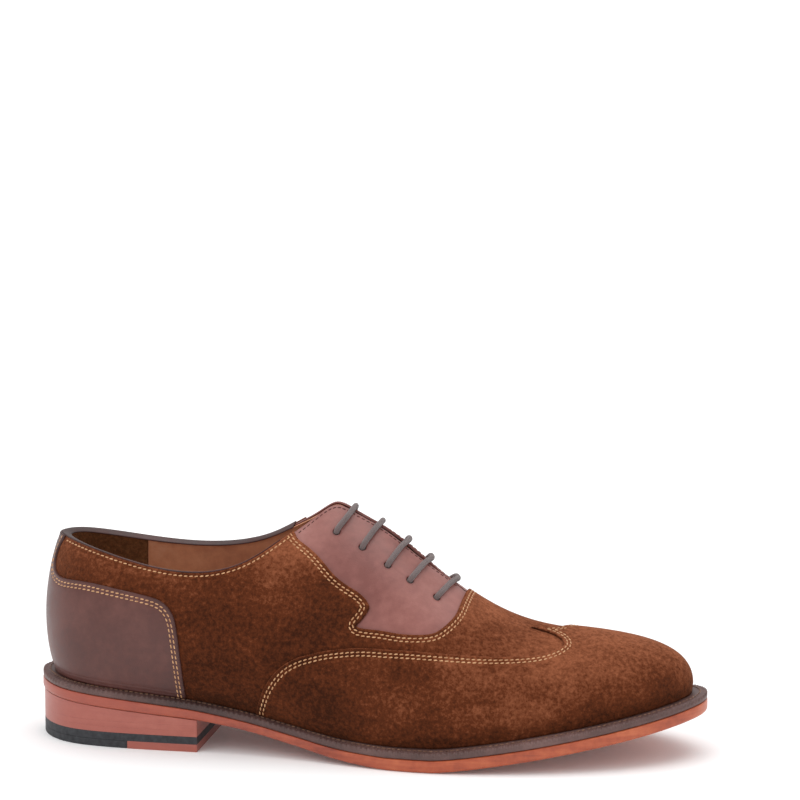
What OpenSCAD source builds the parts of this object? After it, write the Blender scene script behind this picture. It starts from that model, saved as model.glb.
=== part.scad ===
// Right-foot oxford shoe: suede body, wing cap, smooth leather facings and
// counter, welted leather sole and stacked heel. +X is the toe, -Y the outside
// of the foot, Z = 0 the ground.
//
// The upper is drawn on one curved surface. RIBS are cross-sections from the
// heel back (u = 0) round each side to the toe tip (u = 13); t runs up a rib
// from the welt (0) to the topline, throat or spine (1). Every layer of the
// upper is a patch of that surface, offset along its normal.

/* [Overall size] */
// Length of the outsole, heel back to toe tip
shoe_l = 301; // [250:1:360]
// Width of the outsole over the ball
ball_w = 104; // [86:1:126]
// Height of the throat above the welt
throat_h = 89.5; // [74:0.5:108]

/* [Sole] */
// Height of the outsole's underside at the toe tip
toe_spring = 19.4; // [14:0.2:24]
// Outsole thickness under the ball
outsole_t = 5.4; // [4:0.1:7]
// Outsole thickness at the waist
waist_t = 4; // [3:0.1:5]
// Welt thickness
welt_t = 3.5; // [2.5:0.1:4.5]
// How far the welt shows outside the upper at the ball
welt_show = 8; // [5:0.1:10]
// How far the welt shows outside the upper at the heel
welt_show_heel = 4.5; // [3.5:0.1:6]
// How far the welt reaches in under the upper
welt_under = 8; // [7:0.1:10]
// Thickness of the insole's rib
rib_t = 2; // [1:0.1:3]
// Insole thickness
insole_t = 3; // [2:0.1:4]
// Sock lining thickness
sock_t = 1; // [0.6:0.1:1.6]
// Shank thickness
shank_t = 1.2; // [0.8:0.1:1.6]
// Shank width
shank_w = 14; // [10:0.5:18]
// Shank length
shank_l = 96; // [80:1:116]

/* [Heel] */
// Height of the outsole's underside at the heel breast
heel_h = 14.4; // [12:0.1:18]
// Rise of the heel seat from the breast to the back
heel_rise = 6.1; // [5:0.1:8]
// Length of the heel, back to breast
heel_l = 79.5; // [66:0.5:94]
// Thickness of the top piece that walks on the ground
toplift_t = 3.3; // [2.4:0.1:4]
// Length of the leather insert in the top piece
insert_l = 32; // [24:0.5:38]
// Thickness of the rubber layer over the top piece
rubber_t = 3.3; // [2.4:0.1:4]
// Thickness of one leather lift
lift_t = 2.4; // [2:0.1:2.8]
// Diameter of the heel nails
nail_d = 2; // [1.5:0.1:3]
// Diameter of the brass brads in the top piece
brad_d = 1.8; // [1.2:0.1:2.4]

/* [Leather] */
// Suede body thickness
body_t = 1.2; // [0.9:0.1:1.6]
// Wing cap and counter cover thickness
overlay_t = 1; // [0.8:0.1:1.4]
// Lace facing thickness
facing_t = 1; // [0.8:0.1:1.4]
// Toe puff and heel stiffener thickness
stiffener_t = 1; // [0.6:0.1:1.4]
// Lining thickness
lining_t = 1; // [0.7:0.1:1.4]
// Tongue leather thickness
tongue_t = 1.4; // [1:0.1:2]
// Thickness of the binding on the topline
binding_t = 0.8; // [0.5:0.1:1.2]
// Clearance between two layers of the upper
layer_gap = 0.4; // [0.3:0.05:0.5]

/* [Lacing] */
// Lace diameter
lace_d = 2.6; // [2:0.1:3]
// Diameter of a punched lace hole
eyelet_d = 4.8; // [4.4:0.1:5.4]

/* [Hidden] */

SUEDE = [0.42, 0.25, 0.15];
LEATHER = [0.45, 0.28, 0.25];
LINING = [0.68, 0.48, 0.32];
STIFFENER = [0.82, 0.76, 0.66];
LACE = [0.3, 0.27, 0.27];
WELT = [0.3, 0.2, 0.18];
SOLE_LEATHER = [0.74, 0.37, 0.24];
BLACK_RUBBER = [0.09, 0.09, 0.1];
CORK = [0.72, 0.55, 0.36];
STEEL = [0.66, 0.67, 0.7];
BRASS = [0.8, 0.62, 0.26];

LATERAL = 0;
MEDIAL = 1;
BOTH = [LATERAL, MEDIAL];

// Clearance between pieces that rest on each other
fit = 0.12;
// Clearance of the leather edges that meet in the same layer
butt = 0.4;

// ---- layers of the upper: offsets from the suede's visible face ----
body_in = -body_t;
facing_out = body_in - layer_gap;
facing_in = facing_out - facing_t;
stiffener_in = facing_out - stiffener_t;
lining_out = min(facing_in, stiffener_in) - layer_gap;
lining_in = lining_out - lining_t;
overlay_in = layer_gap;
overlay_out = overlay_in + overlay_t;
lace_under = lining_in - lace_d / 2 - 0.25;
lace_over = facing_out + lace_d / 2 + 0.5;
tongue_out = lace_under - lace_d / 2 - 0.9;
tongue_in = tongue_out - tongue_t;

// ---- sections of the last ----
// Feather [x, y outside, y inside], two belly points [x, y, y, height over the
// welt], top [x, y, y, height outside, height inside], at the nominal size
RIBS = [
    [[-143.5, 0, 0], [-150.8, 0, 0, 20], [-147.5, 0, 0, 45], [-140.2, 0, 0, 62.4, 62.4]],
    [[-134, -20.5, 20.5], [-138.5, -25, 25, 19], [-136.8, -20.5, 20.5, 45],
        [-133.2, -14, 14, 62.5, 62]],
    [[-115, -29, 28], [-116, -35, 34.5, 20], [-116, -33.5, 32.5, 43.5],
        [-114, -26.5, 26.5, 60.5, 59]],
    [[-83, -31.5, 29], [-83, -38, 36, 18.5], [-83, -39, 36.5, 40], [-82, -32.5, 31, 57, 58]],
    [[-50, -33, 27], [-50, -40.5, 36, 18], [-51, -42, 38, 47], [-50, -30, 28, 65, 67.5]],
    [[-23, -37, 28.5], [-23, -44, 38, 16], [-24, -43, 37, 61], [-24, -7, 7.5, 88.5, 89]],
    [[2, -42.5, 33], [2, -48.5, 42, 16], [0, -40, 35, 76], [2, -3, 3, 91.5, 91.5]],
    [[28, -46.5, 38.5], [28, -52, 46, 17], [27, -37, 32, 69.5], [27, -4, 4, 73.5, 73.5]],
    [[54, -45.5, 41.5], [54, -50.5, 47.5, 18], [54, -33, 29, 50.5], [54, 0, 0, 53, 53]],
    [[82, -40.5, 41.5], [82, -45, 46.5, 16], [80, -28.5, 28.5, 38.5], [77, 0, 0, 41, 41]],
    [[107.5, -31.5, 35], [109.5, -36, 40, 16], [104, -23.5, 26.5, 31.5], [96, 0, 0, 36, 36]],
    [[128, -20, 23.5], [131, -23, 27, 17], [120.5, -14.5, 17.5, 27.5],
        [107, 0, 0, 32.2, 32.2]],
    [[139.5, -8.5, 10.5], [143, -9, 11, 16], [129, -7, 8, 24.6], [113, 0, 0, 30, 30]],
    [[142.6, 0, 0], [146, 0, 0, 15], [132, 0, 0, 23.8], [115, 0, 0, 29.2, 29.2]],
];
LAST_RIB = len(RIBS) - 1;
// Where the throat closes, how many ribs it takes to open fully, and its least half width
throat_u = 7.6;
throat_opens = 1;
// The tops of the facings stand up a little from the line of the instep
facing_rise = 4.4 * throat_h / 89.5;
rise_u = 5.36;
rise_spread = 0.36;
throat_least = 0.6;
// From here forward the inner layers are cut level with the outer one at the throat
throat_cut_u = 6.9;

// The nominal sections span 286.1 mm by 88 mm inside the welt
heel_back_extra = 2.5;
welt_back = welt_show_heel + heel_back_extra;
kx = (shoe_l - welt_show - welt_back) / 286.1;
ky = (ball_w - 2 * welt_show) / 88;
kz = throat_h / 89.5;
shift_x = welt_back - shoe_l / 2 + 143.5 * kx;
// The outside of the foot is fuller, so the shoe moves over to centre on the X axis
shift_y = 2.2 * ky;
breast_x = heel_l - shoe_l / 2;

function along(x) = x * kx + shift_x;
function unit(v) = v / norm(v);

// ---- smooth curve through [x, value] points ----
function slope_at(p, i) =
    let (a = max(i - 1, 0), b = min(i + 1, len(p) - 1))
    (p[b].y - p[a].y) / (p[b].x - p[a].x);
function span_of(p, x, i = 0) = i >= len(p) - 2 || x < p[i + 1].x ? i : span_of(p, x, i + 1);
function curve(p, x) =
    let (i = span_of(p, x), h = p[i + 1].x - p[i].x, q = (x - p[i].x) / h)
    (2 * q ^ 3 - 3 * q ^ 2 + 1) * p[i].y + (q ^ 3 - 2 * q ^ 2 + q) * h * slope_at(p, i)
    + (3 * q ^ 2 - 2 * q ^ 3) * p[i + 1].y + (q ^ 3 - q ^ 2) * h * slope_at(p, i + 1);
function line_through(p, x) =
    let (i = span_of(p, x)) p[i].y + (p[i + 1].y - p[i].y) * (x - p[i].x) / (p[i + 1].x - p[i].x);

// ---- heights along the sole ----
function seat_z(x) = heel_h + heel_rise * (breast_x - x) / heel_l;
seat_ends_x = breast_x - 20;
// The waist falls from the heel's breast to the ball, wherever the heel ends
waist_l = along(16) - breast_x;
SOLE_LINE = [
    [seat_ends_x, seat_z(seat_ends_x)], [breast_x, heel_h],
    [breast_x + 0.241 * waist_l, 0.78 * heel_h], [breast_x + 0.494 * waist_l, 0.46 * heel_h],
    [breast_x + 0.747 * waist_l, 0.15 * heel_h], [along(16), 0], [along(36), 0],
    [along(62), 0.165 * toe_spring], [along(92), 0.41 * toe_spring],
    [along(122), 0.69 * toe_spring], [along(150.5), toe_spring],
];
OUTSOLE_LINE = [
    [along(-150), outsole_t - 0.4], [along(-95), outsole_t - 0.6], [along(-60), waist_t],
    [along(-25), waist_t + 0.2], [along(15), outsole_t], [along(60), outsole_t],
    [along(150), outsole_t],
];
function sole_under(x) = x < seat_ends_x ? seat_z(x) : max(0, curve(SOLE_LINE, x));
function sole_over(x) = sole_under(x) + curve(OUTSOLE_LINE, x);
function welt_top(x) = sole_over(x) + welt_t;

// ---- the last's surface ----
// Control points of rib k; ribs past either end are those of the other side
function knot(side, k) =
    k < 0 ? knot(1 - side, -k)
    : k > LAST_RIB ? knot(1 - side, 2 * LAST_RIB - k)
    : let (r = RIBS[k], xs = [for (p = r) along(p.x)])
      [
          [xs[0], r[0][1 + side] * ky, welt_top(xs[0]) + fit],
          [xs[1], r[1][1 + side] * ky, welt_top(xs[1]) + r[1][3] * kz],
          [xs[2], r[2][1 + side] * ky, welt_top(xs[2]) + r[2][3] * kz],
          [xs[3], r[3][1 + side] * ky, welt_top(xs[3]) + r[3][3 + side] * kz],
      ];
// Spline coefficients that make the ribs' curve run through the ribs
COEFFS = [for (side = BOTH) [for (k = [-1:LAST_RIB + 1])
    (8 * knot(side, k) - knot(side, k - 1) - knot(side, k + 1)) / 6]];

function smooth(q) = let (c = min(max(q, 0), 1)) c * c * (3 - 2 * c);
function sign_of(side) = side == LATERAL ? -1 : 1;
function mix(side, k, w) =
    let (c = COEFFS[side]) w[0] * c[k] + w[1] * c[k + 1] + w[2] * c[k + 2] + w[3] * c[k + 3];
function rib(side, u) =
    let (
        k = min(floor(u), LAST_RIB - 1),
        q = u - k,
        b = mix(side, k,
            [(1 - q) ^ 3, 3 * q ^ 3 - 6 * q ^ 2 + 4, 1 + 3 * q + 3 * q ^ 2 - 3 * q ^ 3, q ^ 3] / 6)
    )
    [b[0], b[1], b[2],
        [b[3].x, u < 5.5 ? b[3].y : sign_of(side) * throat_half(u, b[3].y), b[3].z + rise_at(u)]];
function rise_at(u) = facing_rise * exp(-((u - rise_u) / rise_spread) ^ 2);
function throat_half(u, y) =
    u > throat_u - 0.0001 ? 0
    : max(throat_least, abs(y) * smooth((throat_u - u) / throat_opens));
function rib_slope(side, u) =
    let (
        k = min(floor(u), LAST_RIB - 1),
        q = u - k,
        b = mix(side, k,
            [-(1 - q) ^ 2, 3 * q ^ 2 - 4 * q, 1 + 2 * q - 3 * q ^ 2, q ^ 2] / 2)
    )
    [b[0], b[1], b[2],
        b[3] + [0, 0, rise_at(u) * 2 * (rise_u - u) / rise_spread ^ 2]];
function bezier(b, t) =
    (1 - t) ^ 3 * b[0] + 3 * t * (1 - t) ^ 2 * b[1] + 3 * t ^ 2 * (1 - t) * b[2] + t ^ 3 * b[3];
function bezier_slope(b, t) =
    3 * (1 - t) ^ 2 * (b[1] - b[0]) + 6 * t * (1 - t) * (b[2] - b[1]) + 3 * t ^ 2 * (b[3] - b[2]);

// The spine's own tangents vanish at the toe rib, so the normal is taken just below it
normal_limit = 0.99;
function own_normal(side, u, t) =
    let (h = min(t, normal_limit))
    unit(-sign_of(side) * cross(bezier(rib_slope(side, u), h), bezier_slope(rib(side, u), h)));
function on_spine(u, t) = t > 0.9999 && u > throat_u - 0.0001;
function on_seam(u, t) = u < 0.0001 || u > LAST_RIB - 0.0001 || on_spine(u, t);
function normal(side, u, t) =
    on_seam(u, t) ? unit(own_normal(side, u, t) + own_normal(1 - side, u, t))
    : own_normal(side, u, t);
// A point d outside the surface. The foot of every layer stands on the welt.
foot_zone = 0.15;
function surf(side, u, t, d) =
    let (
        b = rib(side, u),
        p = bezier(b, t) + d * normal(side, u, t),
        foot = b[0] + d * normal(side, u, 0),
        drop = welt_top(foot.x) + fit - foot.z
    )
    [
        p.x,
        shift_y + (u > throat_cut_u && u < throat_u
            ? sign_of(side) * max(sign_of(side) * p.y, abs(b[3].y)) : p.y),
        p.z + (t < foot_zone ? drop * (1 - t / foot_zone) : 0),
    ];

// ---- solids made of triangles ----
function quad(a, b, c, d) = [[a, b, c], [a, c, d]];
function turned(f, flip) = flip ? [f[0], f[2], f[1]] : f;
function without_slivers(faces) =
    [for (f = faces) if (f[0] != f[1] && f[1] != f[2] && f[0] != f[2]) f];

// A column of a patch runs from its foot by a middle point to its top, in [u, t]
function straight(foot, top) = [foot, (foot + top) / 2, top];
function on_column(c, q) = (1 - q) ^ 2 * c[0] + 2 * q * (1 - q) * c[1] + q ^ 2 * c[2];

// A layer of the upper between two offsets, on one side or joined over both
module patch(sides, columns, rows, inner, outer, joined_start = false, joined_end = false) {
    n = len(columns) - 1;
    both = len(sides) == 2;
    grid = (n + 1) * (rows + 1);
    function shared(i, j) = both && ((joined_start && i == 0) || (joined_end && i == n)
        || (j == rows && on_spine(columns[i][2].x, columns[i][2].y)));
    function id(layer, s, i, j) =
        (layer * len(sides) + (s == 1 && shared(i, j) ? 0 : s)) * grid + i * (rows + 1) + j;
    points = [for (d = [outer, inner]) for (side = sides) for (c = columns) for (j = [0:rows])
        let (p = on_column(c, j / rows)) surf(side, p.x, p.y, d)];
    faces = [for (s = [0:len(sides) - 1]) let (flip = sides[s] == MEDIAL) each [
        for (i = [0:n - 1]) for (j = [0:rows - 1]) each [
            for (f = quad(id(0, s, i, j), id(0, s, i, j + 1),
                id(0, s, i + 1, j + 1), id(0, s, i + 1, j))) turned(f, flip),
            for (f = quad(id(1, s, i, j), id(1, s, i, j + 1),
                id(1, s, i + 1, j + 1), id(1, s, i + 1, j))) turned(f, !flip),
        ],
        for (i = [0:n - 1]) each [
            for (f = quad(id(0, s, i, 0), id(0, s, i + 1, 0),
                id(1, s, i + 1, 0), id(1, s, i, 0))) turned(f, flip),
            if (!(shared(i, rows) && shared(i + 1, rows)))
                each [for (f = quad(id(0, s, i + 1, rows), id(0, s, i, rows),
                    id(1, s, i, rows), id(1, s, i + 1, rows))) turned(f, flip)],
        ],
        for (j = [0:rows - 1]) each [
            if (!(both && joined_start))
                each [for (f = quad(id(0, s, 0, j + 1), id(0, s, 0, j),
                    id(1, s, 0, j), id(1, s, 0, j + 1))) turned(f, flip)],
            if (!(both && joined_end))
                each [for (f = quad(id(0, s, n, j), id(0, s, n, j + 1),
                    id(1, s, n, j + 1), id(1, s, n, j))) turned(f, flip)],
        ],
    ]];
    polyhedron(points, without_slivers(faces));
}

// A solid through a row of rings; each ring turns anticlockwise about the travel
module loft(rings, closed = false) {
    m = len(rings[0]);
    n = len(rings);
    function id(i, k) = (i % n) * m + k % m;
    walls = [for (i = [0:closed ? n - 1 : n - 2]) for (k = [0:m - 1])
        each quad(id(i, k), id(i + 1, k), id(i + 1, k + 1), id(i, k + 1))];
    caps = closed ? [] : [[for (k = [0:m - 1]) id(0, k)], [for (k = [m - 1:-1:0]) id(n - 1, k)]];
    polyhedron([for (r = rings) each r], concat(walls, caps));
}

// ---- outlines seen from above ----
outline_step = 0.25;
WELT_SHOWS = [
    [0, welt_back], [1, welt_show_heel + 1], [2, welt_show_heel], [4.5, welt_show_heel + 0.3],
    [6, welt_show - 1.5], [7, welt_show - 0.3], [8, welt_show], [13, welt_show],
];
// Foot of the last, moved outward in plan; off = undef follows the welt's edge
function outline(side, u, off) =
    let (
        p = rib(side, u)[0],
        d = rib_slope(side, u)[0],
        away = -sign_of(side) * unit([d.y, -d.x])
    )
    [p.x, p.y + shift_y] + (is_undef(off) ? curve(WELT_SHOWS, u) : off) * away;
// Rib number at which an outline passes a given x
function u_at(side, x, off, lo = 0, hi = 12, tries = 24) =
    tries == 0 ? (lo + hi) / 2
    : let (mid = (lo + hi) / 2)
      outline(side, mid, off).x < x ? u_at(side, x, off, mid, hi, tries - 1)
      : u_at(side, x, off, lo, mid, tries - 1);

// A flat piece inside an outline, between two heights that vary along the shoe
module slab(off, low, high, from_x = undef, to_x = undef) {
    u0 = [for (side = BOTH) is_undef(from_x) ? 0 : u_at(side, from_x, off)];
    u1 = [for (side = BOTH) is_undef(to_x) ? LAST_RIB : u_at(side, to_x, off)];
    n = ceil((u1[0] - u0[0]) / outline_step);
    function id(layer, side, i) =
        (layer * 2 + ((is_undef(from_x) && i == 0) || (is_undef(to_x) && i == n) ? 0 : side))
        * (n + 1) + i;
    points = [for (h = [high, low]) for (side = BOTH) for (i = [0:n])
        let (p = outline(side, u0[side] + (u1[side] - u0[side]) * i / n, off)) [p.x, p.y, h(p.x)]];
    faces = [
        for (i = [0:n - 1]) each [
            each quad(id(0, 0, i), id(0, 1, i), id(0, 1, i + 1), id(0, 0, i + 1)),
            each quad(id(1, 0, i), id(1, 0, i + 1), id(1, 1, i + 1), id(1, 1, i)),
            each quad(id(0, 0, i), id(0, 0, i + 1), id(1, 0, i + 1), id(1, 0, i)),
            each quad(id(0, 1, i), id(1, 1, i), id(1, 1, i + 1), id(0, 1, i + 1)),
        ],
        each quad(id(0, 1, 0), id(0, 0, 0), id(1, 0, 0), id(1, 1, 0)),
        each quad(id(0, 0, n), id(0, 1, n), id(1, 1, n), id(1, 0, n)),
    ];
    polyhedron(points, without_slivers(faces));
}

// A strip that runs all round the shoe between two outlines
module ring(off_out, off_in, low, high) {
    stops = concat(
        [for (u = [0:outline_step:LAST_RIB - outline_step]) [LATERAL, u]],
        [for (u = [LAST_RIB:-outline_step:outline_step]) [MEDIAL, u]]
    );
    loft([for (s = stops)
        let (
            p = outline(s[0], s[1], off_out),
            q = outline(s[0], s[1], off_in)
        )
        [[p.x, p.y, high(p.x)], [p.x, p.y, low(p.x)], [q.x, q.y, low(q.x)], [q.x, q.y, high(q.x)]]
    ], closed = true);
}

// ---- pattern pieces, in [u, t] ----
// Step between the columns of the upper's layers
column_step = 0.25;
rows_full = 10;
function clip_top(line, u) = min(1, line_through(line, u));

// Edge of the suede round the facing, back to front
FACING_LINE = [
    [4.7, 1], [4.88, 0.91], [5.48, 0.73], [6.01, 0.66], [6.19, 0.63], [6.24, 0.55],
    [6.8, 0.55], [7.18, 0.59], [7.39, 0.65], [7.58, 0.75], [7.66, 0.9], [7.68, 1],
];
facing_u = [4.7, 4.88, 5.18, 5.48, 5.75, 6.01, 6.19, 6.24, 6.5, 6.8, 7, 7.18, 7.39, 7.5,
    7.58, 7.66, 7.7];
body_u = concat([0.02, for (u = [column_step:column_step:4.5]) u], facing_u,
    [for (u = [8:column_step:LAST_RIB]) u]);

// Edge of the counter's cover, from the neck up the back to the welt
FOXING_LINE = [
    [0, 1], [0.5, 1], [0.58, 0.85], [0.72, 0.75], [1.02, 0.71], [1.78, 0.74], [2.38, 0.76],
    [2.72, 0.77], [2.91, 0.74], [3.04, 0.68], [3.11, 0.56], [3.16, 0.29], [3.19, 0.06],
];
foxing_u = [0, 0.25, 0.5, 0.58, 0.72, 1, 1.25, 1.5, 1.75, 2, 2.25, 2.5, 2.75, 2.91, 3.04, 3.11,
    3.16, 3.19];

// The wing: columns [foot u, middle u, middle t, top u, top t]
WING = [
    [4.3, 4.3, 0.04, 4.3, 0.08], [4.39, 4.39, 0.1, 4.39, 0.19], [4.64, 4.64, 0.16, 4.64, 0.32],
    [5.02, 5.02, 0.2, 5.02, 0.41], [5.44, 5.44, 0.22, 5.44, 0.45], [5.86, 5.86, 0.23, 5.86, 0.45],
    [6.47, 6.47, 0.24, 6.47, 0.47], [7.2, 7.2, 0.25, 7.2, 0.5], [7.7, 7.7, 0.26, 7.7, 0.52],
    [8.15, 8.15, 0.27, 8.15, 0.54], [8.55, 8.55, 0.29, 8.55, 0.57], [8.9, 8.92, 0.3, 8.95, 0.62],
    [9.2, 9.24, 0.34, 9.25, 0.68], [9.5, 9.5, 0.38, 9.43, 0.75], [9.8, 9.85, 0.45, 9.42, 0.81],
    [10.15, 10.25, 0.52, 9.24, 0.89], [10.45, 10.6, 0.62, 9.02, 0.95],
    [10.75, 10.9, 0.72, 8.82, 1], [11, 11.1, 0.7, 9.4, 1], [11.25, 11.35, 0.66, 10, 1],
    [11.5, 11.6, 0.6, 10.6, 1], [11.75, 11.8, 0.56, 11.2, 1], [12, 12.05, 0.52, 11.7, 1],
    [12.25, 12.3, 0.5, 12.1, 1], [12.5, 12.5, 0.5, 12.4, 1], [12.75, 12.75, 0.5, 12.7, 1],
    [13, 13, 0.5, 13, 1],
];

// Lace holes from the toe end up, in [u, t]
EYELETS = [[7.25, 0.8], [6.81, 0.806], [6.42, 0.818], [5.95, 0.852], [5.47, 0.888]];

// ---- suede and smooth leather of the upper ----
module suede_body() {
    columns = [for (u = body_u)
        straight([u, 0], [u, u < FACING_LINE[0].x ? 1 : clip_top(FACING_LINE, u)])];
    color(SUEDE) patch(BOTH, columns, rows_full, body_in, 0, joined_end = true);
}

module wing_cap() {
    columns = [for (w = WING) [[w[0], 0], [w[1], w[2]], [w[3], w[4]]]];
    color(SUEDE) patch(BOTH, columns, rows_full, overlay_in, overlay_out, joined_end = true);
}

module heel_foxing() {
    columns = [for (u = foxing_u) straight([u, 0], [u, clip_top(FOXING_LINE, u)])];
    color(LEATHER) patch(BOTH, columns, rows_full, overlay_in, overlay_out, joined_start = true);
}

// The facing reaches this far under the suede
FACING_FOOT = [
    [4.5, 0.93], [4.75, 0.83], [5.25, 0.7], [5.75, 0.56], [6, 0.49], [6.5, 0.46],
    [7, 0.5], [7.25, 0.55], [7.5, 0.66], [7.58, 0.78],
];
facing_rows = 8;

module lace_holes(side) {
    for (e = EYELETS) {
        p = surf(side, e.x, e.y, 0);
        n = normal(side, e.x, e.y);
        translate(p) rotate([0, acos(n.z), atan2(n.y, n.x)]) translate([0, 0, lining_in - 1.5])
            cylinder(h = -lining_in + 2.5, d = eyelet_d, $fn = 32);
    }
}

module facing(side) {
    columns = [for (u = concat([for (u = [4.5:column_step:7.5]) u], [7.58]))
        straight([u, line_through(FACING_FOOT, u)], [u, 1])];
    color(LEATHER) difference() {
        patch([side], columns, facing_rows, facing_in, facing_out);
        lace_holes(side);
    }
}

module facing_lateral() facing(LATERAL);
module facing_medial() facing(MEDIAL);

module topline_binding() {
    wraps_in = lining_in - fit;
    function corner(side, u, d, up) =
        let (b = rib(side, u)) surf(side, u, 1, d) + up * unit(bezier_slope(b, 1));
    stops = concat(
        [for (u = [4.5:-column_step:column_step]) [LATERAL, u]],
        [for (u = [0:column_step:4.5]) [MEDIAL, u]]
    );
    color(LEATHER) loft([for (s = stops) [
        corner(s[0], s[1], fit, fit),
        corner(s[0], s[1], fit, fit + binding_t),
        corner(s[0], s[1], wraps_in, fit + binding_t),
        corner(s[0], s[1], wraps_in, fit),
    ]]);
}

// ---- linings and stiffeners ----
grip_ends_u = 2.2;
// Where the quarter linings start, a clearance on from the grip; ribs are about 27 mm apart there
lining_starts_u = grip_ends_u + butt / (27 * kx);
vamp_lining_u = 7.75;

module quarter_lining(side) {
    columns = [for (u = concat([lining_starts_u], [for (u = [2.5:column_step:7.5]) u], [7.58]))
        straight([u, 0], [u, 1])];
    color(LINING) difference() {
        patch([side], columns, rows_full, lining_in, lining_out);
        lace_holes(side);
    }
}

module quarter_lining_lateral() quarter_lining(LATERAL);
module quarter_lining_medial() quarter_lining(MEDIAL);

module vamp_lining() {
    columns = [for (u = [vamp_lining_u + 0.25:column_step:LAST_RIB]) straight([u, 0], [u, 1])];
    color(LINING) patch(BOTH, concat([straight([vamp_lining_u, 0], [vamp_lining_u, 1])], columns),
        rows_full, lining_in, lining_out, joined_end = true);
}

module heel_grip() {
    columns = [for (u = concat([for (u = [0:column_step:2]) u], [grip_ends_u]))
        straight([u, 0], [u, 1])];
    color(SUEDE) patch(BOTH, columns, rows_full, lining_in, lining_out, joined_start = true);
}

module toe_puff() {
    puff_top = 0.6;
    columns = [for (u = [10:column_step:LAST_RIB]) straight([u, 0], [u, puff_top])];
    color(STIFFENER) patch(BOTH, columns, 6, stiffener_in, facing_out, joined_end = true);
}

module heel_stiffener() {
    stiffener_top = 0.7;
    columns = [for (u = [0:column_step:2.75]) straight([u, 0], [u, stiffener_top])];
    color(STIFFENER) patch(BOTH, columns, 7, stiffener_in, facing_out, joined_start = true);
}

// ---- tongue ----
tongue_root_u = 8.25;
tongue_top_u = 5.25;
tongue_step = 0.25;
tongue_half_t = 0.2;
tongue_reach = 2.5;

// A point of the tongue; v runs across from the outside edge (-1) to the inside
function tongue_at(u, v, d) =
    let (side = v < 0 ? LATERAL : MEDIAL)
    v == 0 ? (surf(LATERAL, u, 1, d) + surf(MEDIAL, u, 1, d)) / 2
    : surf(side, u, 1 - abs(v) * tongue_half_t, d);
module tongue_layer(outer, inner) {
    across = [-1, -0.66, -0.33, 0, 0.33, 0.66, 1];
    stops = [for (u = [tongue_root_u:-tongue_step:tongue_top_u]) u];
    function cut(u, shift) = concat(
        [for (v = across) tongue_at(u, v, outer) + shift],
        [for (i = [len(across) - 1:-1:0]) tongue_at(u, across[i], inner) + shift]
    );
    // The free end runs on past the last section in a straight line
    lead = unit(tongue_at(tongue_top_u, 0, outer) - tongue_at(tongue_top_u + 0.25, 0, outer));
    loft(concat([for (u = stops) cut(u, [0, 0, 0])],
        [cut(tongue_top_u, tongue_reach * lead)]));
}

module tongue() color(SUEDE) tongue_layer(tongue_out, tongue_in);
module tongue_lining()
    color(LINING) tongue_layer(tongue_in - layer_gap, tongue_in - layer_gap - lining_t);

// ---- lace ----
// Side of a route's point that lies midway between the two sides
CENTRE = 0.5;
track = 0.07;
// Route of the lace as [side, u, t, offset]
function over(side, i) = [side, EYELETS[i].x, EYELETS[i].y, lace_over];
function under(side, i) = [side, EYELETS[i].x, EYELETS[i].y, lace_under];
// A bar crosses square to the throat, so its crest leans towards the toe
function bar(i, side) =
    let (u = EYELETS[i].x, shoulder = lace_over + 0.9, crest = lace_over + 1.2)
    [over(side, i), [side, u + 0.14, 0.95, shoulder], [CENTRE, u + 0.2, 1, crest],
        [1 - side, u + 0.14, 0.95, shoulder], over(1 - side, i)];
function tuck(side, i, shift, k = 0.3) =
    let (to = EYELETS[i]) [side, to.x + k, to.y + shift, lace_under];
ROUTE = concat(
    [[LATERAL, 6.7, 0.66, lace_under - 1.6], [LATERAL, 6.45, 0.67, lace_under - 1],
        [LATERAL, 6.1, 0.685, lace_under - 0.3], [LATERAL, 5.6, 0.74, lace_under],
        [LATERAL, 5.22, 0.83, lace_under], [LATERAL, 5.14, 0.93, lace_under],
        [LATERAL, 5.4, 0.98, lace_under],
        [LATERAL, 5.7, 0.95, lace_under], under(LATERAL, 3)],
    bar(3, LATERAL),
    [under(MEDIAL, 3), tuck(MEDIAL, 2, -track, 0.12), tuck(MEDIAL, 2, -track, -0.1)],
    [[MEDIAL, 6.65, EYELETS[1].y - track, lace_under], under(MEDIAL, 1)],
    bar(1, MEDIAL),
    [under(LATERAL, 1), under(LATERAL, 0)],
    bar(0, LATERAL),
    [under(MEDIAL, 0), [MEDIAL, 6.95, 0.88, lace_under], [MEDIAL, 6.65, 0.9, lace_under],
        under(MEDIAL, 2)],
    bar(2, MEDIAL),
    [under(LATERAL, 2), [LATERAL, 6.15, 0.78, lace_under], [LATERAL, 5.8, 0.79, lace_under],
        under(LATERAL, 4)],
    bar(4, LATERAL),
    [under(MEDIAL, 4), [MEDIAL, 5.25, 0.9, lace_under], [MEDIAL, 5.15, 0.83, lace_under],
        [MEDIAL, 5.4, 0.76, lace_under], [MEDIAL, 5.9, 0.72, lace_under],
        [MEDIAL, 6.3, 0.685, lace_under - 0.3], [MEDIAL, 6.65, 0.67, lace_under - 1],
        [MEDIAL, 6.9, 0.66, lace_under - 1.6]]
);

function route_point(r) =
    r[0] == CENTRE ? (surf(LATERAL, r[1], r[2], r[3]) + surf(MEDIAL, r[1], r[2], r[3])) / 2
    : surf(r[0], r[1], r[2], r[3]);
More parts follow.
